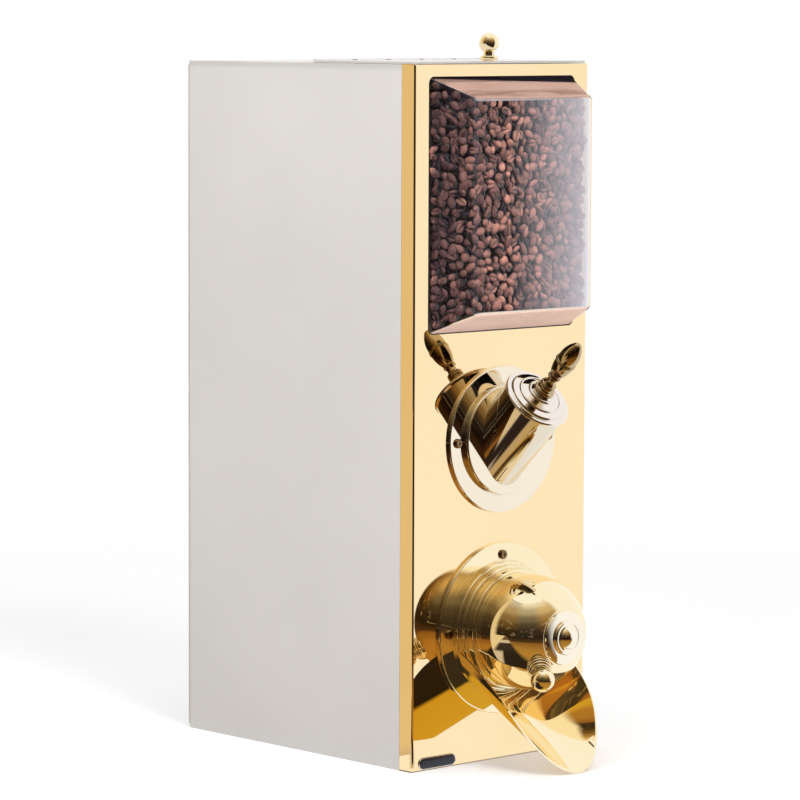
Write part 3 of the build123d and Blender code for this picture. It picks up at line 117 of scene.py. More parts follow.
class DispenserBeans(PropertyGroup):
    bean_length: length("Length", "Length of a coffee bean", 0.0107)
    bean_width: length("Width", "Width of a coffee bean", 0.0080)
    bean_height: length("Height", "Height of a coffee bean over its flat side", 0.0059)
    pitch: length("Pitch", "Distance between neighbouring beans", 0.0076)
    level: length("Level", "Height of the top of the beans in the hopper", 0.588)
    seed: bpy.props.IntProperty(name="Seed", description="Arrangement of the beans", default=7)
    roast_dark: colour("Dark roast", "Darkest bean", (0.038, 0.014, 0.017))
    roast_light: colour("Light roast", "Lightest bean", (0.50, 0.215, 0.155))
    crease: colour("Crease", "Silver skin in the crease of a bean", (0.56, 0.31, 0.22))


class DispenserBadge(PropertyGroup):
    plate_length: length("Length", "Length of the badge plate", 0.0436)
    plate_height: length("Height", "Height of the badge plate", 0.0102)
    thickness: length("Thickness", "How far the plate stands out of the panel", 0.0014)
    left_edge: number("Left edge", "Left end of the plate", -0.0972, unit="LENGTH")
    centre_height: length("Centre height", "Middle of the plate over the counter", 0.0066)


class DispenserStudio(PropertyGroup):
    floor_white: colour("Floor", "Colour of the counter", (0.86, 0.86, 0.86))
    floor_glow: number("Floor glow", "Glow that lifts the lit counter to white", 0.25, min=0)
    ambient: number("Ambient", "Strength of the world's light", 0.48, min=0)
    key_power: number("Key", "Softbox high at the front", 52, min=0, unit="POWER")
    fill_power: number("Fill", "Softbox at the left", 29, min=0, unit="POWER")
    top_power: number("Top", "Softbox overhead", 18, min=0, unit="POWER")
    focal_length: number("Focal length", "Lens in millimetres on a 36 mm sensor", 178.68)


# Helpers for materials


def tinted(base, *factors):
    """Colour multiplied by one factor, or by one for each channel."""
    factors = factors if len(factors) == 3 else factors * 3
    return tuple(min(1.0, part * factor) for part, factor in zip(base, factors))


class Web:
    """Node tree of a material or an effect, with short ways to add to it."""

    def __init__(self, tree):
        self.tree = tree

    def fill(self, node, values):
        """Gives a node's inputs, by name or in order, their values or links to other nodes."""
        for name, value in values.items() if isinstance(values, dict) else enumerate(values):
            socket = node.inputs[name]
            if isinstance(value, bpy.types.NodeSocket):
                self.tree.links.new(value, socket)
            else:
                socket.default_value = (*value, 1.0) if socket.type == "RGBA" else value

    def add(self, kind, values=(), **settings):
        """Node with its settings, and its inputs filled or linked."""
        node = self.tree.nodes.new(kind)
        for name, value in settings.items():
            setattr(node, name, value)
        self.fill(node, values)
        return node

    def point(self):
        """Place on the object, in metres."""
        return self.add("ShaderNodeTexCoord").outputs["Object"]

    def axes(self):
        """Place on the object along X, Y and Z."""
        return self.add("ShaderNodeSeparateXYZ", {"Vector": self.point()}).outputs

    def maths(self, operation, first, *others, clamp=False):
        """Result of Math nodes, one for each value after the first."""
        for other in others or (0.0,):
            node = self.add("ShaderNodeMath", (first, other), operation=operation, use_clamp=clamp)
            first = node.outputs[0]
        return first

    def times(self, *values):
        """Product."""
        return self.maths("MULTIPLY", *values)

    def most(self, *values, clamp=False):
        """Largest value."""
        return self.maths("MAXIMUM", *values, clamp=clamp)

    def vector(self, operation, *values):
        """Result of one Vector Math node."""
        node = self.add("ShaderNodeVectorMath", values, operation=operation)
        return node.outputs["Vector" if operation == "MULTIPLY" else "Value"]

    def ranged(self, value, low, high, to_low=0.0, to_high=1.0, smooth=False):
        """Value mapped from one range to another, and clamped."""
        values = (value, low, high, to_low, to_high)
        kind = "SMOOTHSTEP" if smooth else "LINEAR"
        return self.add("ShaderNodeMapRange", values, clamp=True, interpolation_type=kind).outputs[0]

    def blend(self, share, first, second):
        """Mix of two colours."""
        values = {0: share, 6: first, 7: second}
        return self.add("ShaderNodeMix", values, data_type="RGBA").outputs[2]

    def ramp(self, share, stops):
        """Colours blended along a share. Each stop is a place and a colour."""
        node = self.add("ShaderNodeValToRGB", {"Fac": share})
        node.color_ramp.interpolation = "EASE"
        elements = node.color_ramp.elements
        for element, (place, *shade) in zip(elements, (stops[0], stops[-1])):
            element.position, element.color = place, (*shade, 1.0)
        for place, *shade in stops[1:-1]:
            elements.new(place).color = (*shade, 1.0)
        return node.outputs["Color"]

    def noise(self, point, scale, detail=3.0, roughness=0.5):
        """Noise between 0 and 1, at one scale, or at one for each axis."""
        if isinstance(scale, tuple):
            point, scale = self.vector("MULTIPLY", point, scale), 1.0
        values = {"Vector": point, "Scale": scale, "Detail": detail, "Roughness": roughness}
        return self.add("ShaderNodeTexNoise", values).outputs["Fac"]

    def uneven(self, noise, low=0.0, high=1.0):
        """Noise, which rarely leaves 0.3 to 0.7, spread over a range."""
        return self.ranged(noise, 0.3, 0.7, low, high)

    def bump(self, height, distance, strength=1.0):
        """Normal of a surface whose height spans a distance in metres."""
        values = {"Height": height, "Distance": distance, "Strength": strength}
        return self.add("ShaderNodeBump", values).outputs["Normal"]

    def effect(self, name, values):
        """Shared effect, placed with its own values. Returns its outputs."""
        group = bpy.data.node_groups.get(name) or new_effect(name)
        return self.add("ShaderNodeGroup", values, node_tree=group).outputs


def polish(web, given):
    """Fine polishing lines and finger smudges of mirror-bright metal."""
    place = web.vector("MULTIPLY", web.point(), given["Scale"])
    lines = web.noise(place, (60.0, 60.0, 900.0), 4.0, 0.6)
    cross = web.noise(place, (700.0, 500.0, 40.0), 3.0, 0.6)
    smudge = web.ranged(web.noise(place, 28.0, 5.0, 0.62), 0.48, 0.72, smooth=True)
    return {
        "Height": web.maths("ADD", web.times(lines, 0.6), web.times(cross, 0.4)),
        "Smudge": web.times(smudge, given["Smudge Amount"]),
        "Patch": web.noise(place, 9.0),
    }


def sheet_grain(web, given):
    """Fine grain and broad unevenness of satin sheet."""
    place = web.vector("MULTIPLY", web.point(), given["Scale"])
    upright = web.noise(place, (1500.0, 1500.0, 26.0), 3.0, 0.55)
    level = web.noise(place, (26.0, 26.0, 1500.0), 3.0, 0.55)
    values = {0: given["Along Z"], 2: level, 3: upright}
    grain = web.add("ShaderNodeMix", values, data_type="FLOAT").outputs[0]
    speckle = web.noise(place, 2600.0, 2.0)
    return {
        "Height": web.maths("ADD", web.times(grain, 0.7), web.times(speckle, 0.3)),
        "Tone": web.noise(place, 5.0),
        "Mottle": web.noise(place, 60.0, 4.0, 0.6),
    }


def crevice_shade_and_dust(web, given):
    """Mask that is one in corners and grooves, found by ambient occlusion: painted shade, with the
    polish and dust that stay there.
    """
    values = {"Distance": given["Reach"]}
    shade = web.add("ShaderNodeAmbientOcclusion", values, samples=6, only_local=True)
    closed = web.maths("SUBTRACT", 1.0, web.ranged(shade.outputs["AO"], 0.35, 0.95))
    broken = web.times(closed, web.ranged(web.noise(web.point(), 240.0, 4.0), 0.3, 0.6))
    return {"Mask": web.maths("MULTIPLY", broken, given["Strength"], clamp=True)}


EFFECTS = {
    "Polish": (polish, {"Scale": 1.0, "Smudge Amount": 0.5}, ("Height", "Smudge", "Patch")),
    "Sheet grain": (sheet_grain, {"Scale": 1.0, "Along Z": 1.0}, ("Height", "Tone", "Mottle")),
    "Crevice shade and dust": (crevice_shade_and_dust, {"Reach": 0.003, "Strength": 1.0}, ("Mask",)),
}


def new_effect(name):
    """Node group of an effect, with its named inputs and outputs."""
    make, inputs, outputs = EFFECTS[name]
    tree = bpy.data.node_groups.new(name, "ShaderNodeTree")
    for label, default in inputs.items():
        socket = tree.interface.new_socket(label, in_out="INPUT", socket_type="NodeSocketFloat")
        socket.default_value = default
    for label in outputs:
        tree.interface.new_socket(label, in_out="OUTPUT", socket_type="NodeSocketFloat")
    web = Web(tree)
    given, result = web.add("NodeGroupInput"), web.add("NodeGroupOutput")
    web.fill(result, make(web, given.outputs))
    return tree


def blank_material(name):
    """New material. Returns it, its web and its Principled node."""
    made = bpy.data.materials.new(name)
    made.use_nodes = True
    return made, Web(made.node_tree), made.node_tree.nodes["Principled BSDF"]


def dress(names, material):
    """Gives CAD nodes one material, in all their slots."""
    for name in names:
        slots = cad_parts[name].material_slots
        if not slots:
            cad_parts[name].data.materials.append(material)
        for slot in slots:
            slot.material = material


def polished_metal(
    name, tint, deepened, roughness, smudge=0.5, groove=0.0, scale=1.0, line_depth=1.2e-6, glow=0.0
):
    """Mirror-bright metal: a tint that drifts to a deeper one, smudges and polishing lines.

    The glow stands for the light of mirror bounces beyond the renderer's limit.
    """
    made, web, shader = blank_material(name)
    polished = web.effect("Polish", {"Scale": scale, "Smudge Amount": smudge})
    deep = tinted(tint, *deepened)
    metal = web.blend(web.uneven(polished["Patch"], 0.0, 0.35), tint, deep)
    # Painted shade with polish dust: darker in grooves and corners
    if groove:
        grooves = web.effect("Crevice shade and dust", {"Reach": groove, "Strength": 0.55})
        metal = web.blend(grooves["Mask"], metal, tinted(deep, 0.45))
    finish = {
        "Base Color": metal,
        "Metallic": 1.0,
        "Roughness": web.ranged(polished["Smudge"], 0.0, 1.0, roughness, roughness + 0.10),
        "Emission Color": [part**3 for part in tint],
        "Emission Strength": glow,
        "Normal": web.bump(polished["Height"], line_depth),
    }
    web.fill(shader, finish)
    return made


def grained(name, scale, tint, stained, patches, roughness, depth, more=None):
    """Bare sheet, plastic or rubber: grain, stained patches and uneven gloss."""
    made, web, shader = blank_material(name)
    grain = web.effect("Sheet grain", {"Scale": scale, "Along Z": 0.0})
    finish = {
        "Base Color": web.blend(web.ranged(grain["Mottle"], *patches), tint, tinted(tint, *stained)),
        "Roughness": web.uneven(grain["Tone"], *roughness),
        "Normal": web.bump(grain["Height"], depth),
    }
    web.fill(shader, finish | (more or {}))
    return made


# Mesh helpers


def new_object(name, shape, material):
    """Object from a finished bmesh."""
    mesh = bpy.data.meshes.new(name)
    shape.to_mesh(mesh)
    shape.free()
    mesh.materials.append(material)
    made = bpy.data.objects.new(name, mesh)
    bpy.context.scene.collection.objects.link(made)
    return made


def hide(thing, *rays):
    """Hides an object from some kinds of rays."""
    for kind in rays:
        setattr(thing, f"visible_{kind}", False)


def new_piece(name, shape, material, smooth=True):
    """Piece from a finished bmesh, which rides on the cabinet."""
    piece = new_object(name, shape, material)
    for face in piece.data.polygons:
        face.use_smooth = smooth
    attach(piece, "cabinet")
    return piece


def rounded_loop(half_width, half_height, corner, y, middle=(0.0, WINDOW_Z), steps=8):
    """Points round an upright rectangle with round corners, anticlockwise."""
    points = []
    for quarter, (side, end) in enumerate(((1, 1), (-1, 1), (-1, -1), (1, -1))):
        for step in range(steps + 1):
            turn = radians(90 * quarter + 90 * step / steps)
            x = side * (half_width - corner) + corner * cos(turn)
            z = end * (half_height - corner) + corner * sin(turn)
            points.append((middle[0] + x, y, middle[1] + z))
    return points


def lofted(shape, loops, capped=True):
    """Skin over loops of points, closed at the last one."""
    rings = [[shape.verts.new(point) for point in loop] for loop in loops]
    bridged(shape, rings)
    if capped:
        shape.faces.new(rings[-1])


def bridged(shape, rings):
    """Joins rings of vertices with quads."""
    for low, high in zip(rings, rings[1:]):
        for here, low_vertex in enumerate(low):
            following = (here + 1) % len(low)
            shape.faces.new((low_vertex, low[following], high[following], high[here]))


# Operators, one for each piece or group of like pieces


class DispenserStep:
    bl_options = {"REGISTER", "UNDO"}


class DISPENSER_OT_front_panel(DispenserStep, Operator):
    """Mirror-polished gold sheet of the front panel"""

    bl_idname = "dispenser.front_panel"
    bl_label = "Front panel"

    def execute(self, context):
        tint = context.scene.dispenser_finishes.panel_gold
        made, web, shader = blank_material("polished gold sheet")
        polished = web.effect("Polish", {"Scale": 0.6, "Smudge Amount": 0.35})
        deep = tinted(tint, 0.985, 0.965, 0.92)
        gold = web.blend(web.uneven(polished["Patch"]), tint, deep)
        # Painted shade: a dark brown line along the lowest 1.4 mm of the panel
        foot = web.ranged(web.axes()["Z"], 0.0009, 0.0014, 0.85, 0.0)
        waves = web.noise(web.point(), 7.0, 1.0, 0.4)
        height = web.maths("ADD", waves, web.times(polished["Height"], 0.012))
        finish = {
            "Base Color": web.blend(foot, gold, (0.12, 0.05, 0.02)),
            "Metallic": 1.0,
            "Roughness": web.ranged(polished["Smudge"], 0.0, 1.0, 0.02, 0.075),
            "Normal": web.bump(height, 0.00006),
        }
        web.fill(shader, finish)
        dress(["front_panel"], made)
        return {"FINISHED"}


class DISPENSER_OT_side_sheets(DispenserStep, Operator):
    """Satin grey sheet of the sides, top, back and lid"""

    bl_idname = "dispenser.side_sheets"
    bl_label = "Side sheets"

    def execute(self, context):
        grey = context.scene.dispenser_finishes.side_grey
        made, web, shader = blank_material("satin side sheet")
        grain = web.effect("Sheet grain", {"Scale": 1.0, "Along Z": 1.0})
        # Painted light: the sheets grow lighter towards the top of the sides, and the top surfaces
        # above 0.604 m only part of the way
        height = web.axes()["Z"]
        upward = web.ranged(height, 0.03, 0.58)
        upward = web.times(upward, web.ranged(height, 0.604, 0.607, 1.0, 0.55))
        light, dull = (
            web.blend(upward, tinted(grey, 0.80 * share), tinted(grey, 1.16 * share))
            for share in (1.03, 0.96)
        )
        tone = web.blend(web.uneven(grain["Tone"]), light, dull)
        # Painted shade with dust: the sheets darken in their corners
        corners = web.effect("Crevice shade and dust", {"Reach": 0.004, "Strength": 0.6})
        finish = {
            "Base Color": web.blend(corners["Mask"], tone, (0.20, 0.18, 0.165)),
            "Roughness": web.uneven(grain["Mottle"], 0.36, 0.50),
            "Coat Weight": 0.12,
            "Coat Roughness": 0.18,
            "Normal": web.bump(grain["Height"], 0.000006, 0.5),
        }
        web.fill(shader, finish)
        sheets = ["left_side_panel", "right_side_panel", "rear_top_plate", "back_panel", "lid"]
        dress(sheets + ["hinge_fixed_leaf", "hinge_moving_leaf"], made)
        return {"FINISHED"}


class DISPENSER_OT_inner_sheets(DispenserStep, Operator):
    """Bare brushed sheet of the base, the hopper and the window's clamp"""

    bl_idname = "dispenser.inner_sheets"
    bl_label = "Inner sheets"

    def execute(self, context):
        grey = context.scene.dispenser_finishes.inner_grey
        bare, patches, roughness = {"Metallic": 1.0}, (0.35, 0.65), (0.28, 0.42)
        made = grained("brushed inner sheet", 0.8, grey, (0.8,), patches, roughness, 1e-5, bare)
        dress(["base_plate", "hopper_body", "hopper_funnel", "hopper_duct", "window_clamp_frame"], made)
        return {"FINISHED"}


class DISPENSER_OT_gate_fitting(DispenserStep, Operator):
    """Pale polished brass of the gate's flange, barrel and cap, aged brass of its handle"""

    bl_idname = "dispenser.gate_fitting"
    bl_label = "Gate fitting"

    def execute(self, context):
        finishes = context.scene.dispenser_finishes
        for name, tint in (
            ("gate_flange", finishes.pale_brass),
            ("gate_barrel", finishes.barrel_brass),
            ("gate_cap", finishes.cap_brass),
        ):
            metal = polished_metal(f"{name} brass", tint, (0.97, 0.93, 0.86), 0.03, 0.45, 0.003)
            dress([name], metal)
        tint, deepened = finishes.aged_brass, (0.45, 0.38, 0.30)
        aged = polished_metal("aged handle brass", tint, deepened, 0.09, 0.9, 0.002, 3.0, 3e-6)
        dress(["gate_handle"], aged)
        return {"FINISHED"}


class DISPENSER_OT_outlet_fitting(DispenserStep, Operator):
    """Yellow polished brass of the outlet, its chute and the knobs"""

    bl_idname = "dispenser.outlet_fitting"
    bl_label = "Outlet fitting"

    def execute(self, context):
        finishes = context.scene.dispenser_finishes
        tint, deepened = finishes.yellow_brass, (0.98, 0.93, 0.8)
        made = polished_metal("yellow brass", tint, deepened, 0.025, 0.4, 0.003, glow=0.015)
        dress(["outlet_flange", "outlet_sleeve", "outlet_hood", "hood_knob", "chute", "lid_knob"], made)
        tint, deepened = finishes.white_brass, (0.98, 0.96, 0.9)
        made = polished_metal("white brass", tint, deepened, 0.04, 0.4, 0.002)
        dress(["hood_nose_disc", "hood_boss"], made)
        return {"FINISHED"}


class DISPENSER_OT_fasteners(DispenserStep, Operator):
    """Zinc of the fasteners and rods, brass of the fitting screws, bronze of the bushes"""

    bl_idname = "dispenser.fasteners"
    bl_label = "Fasteners"

    def execute(self, context):
        finishes = context.scene.dispenser_finishes
        steel = polished_metal("zinc steel", finishes.zinc, (0.72,), 0.22, 0.9, 0.001, 3.0, 4e-6)
        dress(
            ["back_panel_screws", "lid_knob_screw", "hinge_pin", "hinge_fixed_rivets"]
            + ["hinge_moving_rivets", "window_nuts", "gate_nuts", "gate_rod", "piston_nut"]
            + ["gate_stop_collar", "outlet_nuts", "hood_stop_pins", "hood_stop_arm"]
            + ["hood_spindle", "spindle_washer", "spindle_nut", "hood_knob_screw"],
            steel,
        )
        tint, deepened = finishes.screw_brass, (0.6, 0.5, 0.4)
        brass = polished_metal("screw brass", tint, deepened, 0.12, 0.9, 0.0012, 4.0, 3e-6)
        dress(["gate_screws", "outlet_screws"], brass)
        tint = finishes.bronze
        bronze = polished_metal("sintered bronze", tint, (0.7,), 0.34, 1.0, 0.0015, 3.0, 6e-6)
        dress(["gate_bush", "spindle_bush"], bronze)
        return {"FINISHED"}


class DISPENSER_OT_piston(DispenserStep, Operator):
    """Turned nylon of the gate's piston"""

    bl_idname = "dispenser.piston"
    bl_label = "Piston"

    def execute(self, context):
        tint, stained = context.scene.dispenser_finishes.nylon, (0.82, 0.72, 0.6)
        softness = {"Subsurface Weight": 0.1, "Subsurface Scale": 0.002}
        nylon = grained("turned nylon", 1.4, tint, stained, (0.4, 0.75), (0.35, 0.5), 0.00002, softness)
        dress(["gate_piston"], nylon)
        return {"FINISHED"}


class DISPENSER_OT_window(DispenserStep, Operator):
    """Clear acrylic of the bubble window and the rubber of its gasket"""

    bl_idname = "dispenser.window"
    bl_label = "Window"

    def execute(self, context):
        made, web, shader = blank_material("clear acrylic")
        polished = web.effect("Polish", {"Scale": 0.8, "Smudge Amount": 0.7})
        clear, faint = (0.985, 0.985, 0.995), (0.965, 0.97, 0.985)
        finish = {
            "Base Color": web.blend(web.uneven(polished["Patch"]), clear, faint),
            "Transmission Weight": 1.0,
            "IOR": 1.03,
            "Roughness": web.ranged(polished["Smudge"], 0.0, 1.0, 0.0, 0.05),
            "Normal": web.bump(web.noise(web.point(), 11.0, 1.0, 0.4), 0.00012),
        }
        web.fill(shader, finish)
        dress(["window_bubble"], made)
        hide(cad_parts["window_bubble"], "shadow", "glossy")
        black = context.scene.dispenser_finishes.rubber
        rubber = grained("gasket rubber", 1.0, black, (2.4,), (0.0, 1.0), (0.55, 0.75), 0.00002)
        dress(["window_gasket"], rubber)
        hide(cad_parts["window_gasket"], "transmission")
        return {"FINISHED"}


class DISPENSER_OT_window_film(DispenserStep, Operator):
    """Thin film in the skin of the bubble: haze and tan bean dust, with painted glare, painted
    highlights, painted light and painted shadow
    """

    bl_idname = "dispenser.window_film"
    bl_label = "Window film"

    corner = 0.005
    # The haze layer thickens and glows to the right: painted glare
    veil_start, veil_curve, veil_most = -0.032, 1.3, 0.87
    # Glow of the painted highlights at the bends
    end_line_glow, side_line_glow = 0.55, 0.04

    def execute(self, context):
        depth = BUBBLE_PROUD - SKIN
        loops = []
        for share in (0.0, 0.35, 0.7, 1.0 - BUBBLE_EDGE / depth):
            side = WINDOW_HALF - BUBBLE_GAP - SKIN - SIDE_SLOPE * share
            end = WINDOW_RISE - BUBBLE_GAP - SKIN - END_SLOPE * share
            y = PANEL_FACE - depth * share
            loops.append((side, end, y))
        for turn in (30, 60, 90):
            drop = BUBBLE_EDGE * (1 - cos(radians(turn)))
            loops.append((side - drop, end - drop, y - BUBBLE_EDGE * sin(radians(turn))))
        shape = bmesh.new()
        lofted(shape, [rounded_loop(side, end, self.corner, y) for side, end, y in loops])
        bmesh.ops.recalc_face_normals(shape, faces=shape.faces)
        haze = self.haze(context.scene.dispenser_finishes)
        hide(new_piece("window_film", shape, haze, smooth=False), "shadow", "glossy")
        return {"FINISHED"}

    def haze(self, finishes):
        """Haze that thickens to the right and glows as painted glare; dust on the end walls, glowing on
        the bottom wall as painted light and darker on the top wall as painted shade; glowing lines at
        the bends as painted highlights; a painted shadow at the back of the top wall.
        """
        made, web, shader = blank_material("window film")
        x, y, z = web.axes()
        cloud = web.noise(web.point(), 34.0, 4.0, 0.6)
        speck = web.noise(web.point(), 420.0, 3.0, 0.6)
        up = web.maths("ABSOLUTE", web.maths("SUBTRACT", z, WINDOW_Z))
        out = web.maths("SUBTRACT", PANEL_FACE, y)
        top_side = web.ranged(z, WINDOW_Z - 0.05, WINDOW_Z + 0.05)

        # How far a place lies beyond the foot of the end walls
        slant = web.times(out, END_SLOPE / (BUBBLE_PROUD - SKIN))
        beyond = web.maths("SUBTRACT", web.maths("ADD", up, slant), WINDOW_RISE - BUBBLE_GAP - SKIN)
        wall = web.ranged(beyond, -0.0012, -0.0006)

        # Painted glare: the glowing haze layer thickens towards the right
        glare_veil = web.times(
            web.maths("POWER", web.ranged(x, self.veil_start, FACE_HALF), self.veil_curve),
            self.veil_most,
            web.ranged(cloud, 0.2, 0.8, 0.86, 1.1),
            web.ranged(x, FACE_HALF - 0.0005, FACE_HALF + 0.003, 1.0, 0.3),
        )
        dust = web.times(wall, web.ranged(cloud, 0.25, 0.6, 0.86, 0.97))
        # Painted highlights: glowing lines on the front face near its bends
        end_line = web.times(web.ranged(beyond, -0.0026, -0.0020), self.end_line_glow)
        across = web.maths("ABSOLUTE", x)
        side_line = web.ranged(
            across, FACE_HALF - 0.0034, FACE_HALF - 0.0030, 0.0, self.side_line_glow
        )
        on_front = web.ranged(out, BUBBLE_PROUD - 0.0040, BUBBLE_PROUD - 0.0030)
        lines = web.times(web.most(end_line, side_line), on_front)
        base = web.most(web.ranged(speck, 0.55, 0.8, 0.003, 0.012), lines)

        chaff = finishes.chaff
        tan = web.blend(web.ranged(speck, 0.4, 0.7, 0.0, 0.6), chaff, tinted(chaff, 1.15))
        # Painted shade: a darker, mottled copy of the chaff on the top wall
        dim = tinted(chaff, 0.72, 0.66, 0.63)
        shaded_top_chaff = web.blend(web.ranged(cloud, 0.35, 0.7), dim, tinted(dim, 0.86))
        tan = web.blend(top_side, tan, shaded_top_chaff)
        smear = web.times(
            web.ranged(web.noise(web.point(), (18.0, 160.0, 40.0), 4.0, 0.6), 0.48, 0.60, 0.0, 0.75),
            top_side,
            web.ranged(out, 0.022, 0.030),
            web.ranged(out, 0.034, 0.037, 1.0, 0.0),
        )
        tan = web.blend(smear, tan, (0.13, 0.07, 0.05))
        # Painted shadow: a near-black strip at the back of the top wall, for the shade inside the
        # cabinet
        reach = web.ranged(x, -0.085, 0.075, 0.002, 0.012)
        shadow_band = web.ranged(web.maths("SUBTRACT", out, reach), -0.001, 0.001, 1.0, 0.0)
        tan = web.blend(web.times(shadow_band, top_side), tan, (0.012, 0.009, 0.014))

        # Painted glare: the haze glows near white at the right edge
        right_edge = web.ranged(x, FACE_HALF - 0.007, FACE_HALF - 0.001)
        glare_colour = web.blend(right_edge, finishes.haze, (0.95, 0.95, 0.97))
        # The film glows: its haze as painted glare, the bottom wall's tan as painted light; the top
        # wall does not glow
        finish = {
            "Base Color": web.blend(wall, BLACK, tan),
            "Emission Color": web.blend(wall, glare_colour, web.blend(top_side, tan, BLACK)),
            "Emission Strength": 1.0,
            "Alpha": web.most(glare_veil, dust, base, clamp=True),
            "Roughness": web.uneven(speck, 0.7, 0.9),
            "Specular IOR Level": 0.0,
        }
        web.fill(shader, finish)
        return made


class DISPENSER_OT_beans(DispenserStep, Operator):
    """Roasted coffee beans behind the window and on top of the hopper"""

    bl_idname = "dispenser.beans"
    bl_label = "Coffee beans"

    wall_gap = 0.0004
    end_gap = 0.0012
    front_margin = 0.003
    window_layers = (0.0, 0.0055, 0.0108)
    hopper_layers = (0.0, 0.0046)
    layer_spread = 0.06
    row_pitch = 0.88
    line_pitch = 0.9
    stray = 0.3
    most_sunk = 0.0026
    lean = 0.42
    flat_side_out = 0.42
    swell_height, swell_scale = 0.006, 22
    flat_depth, flat_curve = 0.62, 2.2
    crease_width, crease_depth = 0.2, 0.34
    bend_height, bend_length, bend_width = 0.15, 2.6, 0.6
    backing_inset = ACRYLIC + 0.0165
    backing_drop = 0.016

    def execute(self, context):
        beans = context.scene.dispenser_beans
        shape = bmesh.new()
        layers = [shape.verts.layers.float.new(name) for name in ("roast", "crease", "depth")]
        chance = random.Random(beans.seed)
        for seat in self.seats(beans, chance):
            self.add_bean(shape, layers, beans, chance, seat)
        self.add_backing(shape, layers[2], beans)
        piece = new_piece("coffee_beans", shape, self.roasted(beans))
        if not piece.data.polygons:
            raise RuntimeError("no coffee beans were made")
        hide(piece, "glossy")
        return {"FINISHED"}

    def window_places(self, beans):
        """Places behind the bubble's front and its sloping sides, layer by layer."""
        inset = ACRYLIC + self.wall_gap
        depth = BUBBLE_PROUD - inset
        side_foot, side_face = WINDOW_HALF - inset, FACE_HALF - inset
        end_foot, end_face = WINDOW_RISE - inset, WINDOW_RISE - END_SLOPE - inset
        for layer, sink in enumerate(self.window_layers):
            lie = beans.bean_height * 0.5 + sink
            step = beans.pitch * (1.0 + self.layer_spread * layer)
            rows = int(2 * end_face / (step * self.row_pitch))
            columns = int(2 * side_face / step)
            for row in range(rows + 1):
                z = -end_face + self.front_margin + 2 * (end_face - self.front_margin) * row / rows
                for column in range(columns + 1):
                    x = -side_face + 2 * side_face * (column + 0.5 * (row % 2)) / columns
                    if abs(x) <= side_face - 0.001:
                        y = PANEL_FACE - depth + lie
                        yield Vector((x, y, WINDOW_Z + z)), Vector((0, -1, 0)), lie
            lines = int(hypot(SIDE_SLOPE, depth) / (step * self.line_pitch))
            for side in (-1, 1):
                out = Vector((side * depth, -SIDE_SLOPE, 0)).normalized()
                for line in range(lines + 1):
                    share = (line + 0.2) / lines
                    if share > 1:
                        continue
                    high = end_foot + (end_face - end_foot) * share
                    for row in range(int(2 * high / step)):
                        z = -high + step * (row + 0.5 + 0.5 * (line % 2))
                        if z > high - lie:
                            continue
                        across = side * (side_foot + (side_face - side_foot) * share)
                        foot = Vector((across, PANEL_FACE - depth * share, WINDOW_Z + z))
                        yield foot - out * lie, out, lie

    def hopper_places(self, beans):
        """Places on top of the filling, gently uneven."""
        x_half = HOPPER_HALF - 0.006
        y_low, y_high = PANEL_FACE + 0.009, HOPPER_HIGH.y - 0.007
        columns = int(2 * x_half / beans.pitch)
        lines = int((y_high - y_low) / (beans.pitch * self.line_pitch))
        for drop in self.hopper_layers:
            for line in range(lines + 1):
                for column in range(columns + 1):
                    x = -x_half + 2 * x_half * (column + 0.5 * (line % 2)) / columns
                    if x > x_half:
                        continue
                    y = y_low + (y_high - y_low) * line / lines
                    wave = noise.noise(Vector((x * self.swell_scale, y * self.swell_scale, 3.1)))
                    level = beans.level - self.swell_height + self.swell_height * wave - drop
                    yield Vector((x, y, level)), Vector((0, 0, 1)), beans.bean_height * 0.5 + drop

    def seats(self, beans, chance):
        """Seats of beans: a place, the way out, and the depth under the outermost layer's top."""
        stray = beans.pitch * self.stray
        seats = []
        for spot, out, lie in (*self.window_places(beans), *self.hopper_places(beans)):
            side = out.orthogonal().normalized()
            other = out.cross(side)
            spot += side * chance.uniform(-stray, stray) + other * chance.uniform(-stray, stray)
            sink = chance.uniform(0.0, self.most_sunk)
            seats.append((spot - out * sink, out, lie + sink))
        return seats

    def add_bean(self, shape, layers, beans, chance, seat):
        """One bean: a half-round back, a flat side with an S-shaped crease, turned at random."""
        spot, out, lie = seat
        roast, crease_layer, depth = layers
        turns, rings = (16, 9) if lie < beans.bean_height else (10, 6)
        size = chance.uniform(0.88, 1.1)
        half = Vector((beans.bean_length, beans.bean_width, beans.bean_height)) * size / 2
        half.x *= chance.uniform(0.92, 1.08)
        bend = chance.uniform(0.5, 1.0)
        roast_value = chance.random()
        flat_out = chance.random() < self.flat_side_out
        tilt = Matrix.Rotation(chance.gauss(0, self.lean), 3, "X")
        tilt = tilt @ Matrix.Rotation(chance.gauss(0, self.lean), 3, "Y")
        spin = Matrix.Rotation(chance.uniform(0, tau), 3, "Z")
        flip = Matrix.Rotation(pi if flat_out else 0.0, 3, "X")
        turn_to = out.to_track_quat("Z", "Y").to_matrix() @ tilt @ spin @ flip

        def reach(way):
            """Half of the bean's size along a way."""
            axes = zip(turn_to.transposed(), half)
            return sqrt(sum((axis.dot(way) * part) ** 2 for axis, part in axes))

        rise = max(0.0, reach(out) - lie)
        spot, lie = spot - out * rise, lie + rise
        if abs(out.z) < 0.5:
            slant = END_SLOPE * (PANEL_FACE - spot.y) / BUBBLE_PROUD
            room = WINDOW_RISE - ACRYLIC - self.end_gap - slant - reach(Vector((0, 0, 1)))
            spot.z = WINDOW_Z + max(-room, min(room, spot.z - WINDOW_Z))

        def vertex_at(x, y, z, inside):
            """Vertex of the bean, with its roast, crease and depth."""
            offset = turn_to @ Vector((x * half.x, y * half.y, z * half.z))
            vertex = shape.verts.new(spot + offset)
            vertex[roast] = roast_value
            vertex[crease_layer] = inside
            vertex[depth] = lie - offset.dot(out)
            return vertex

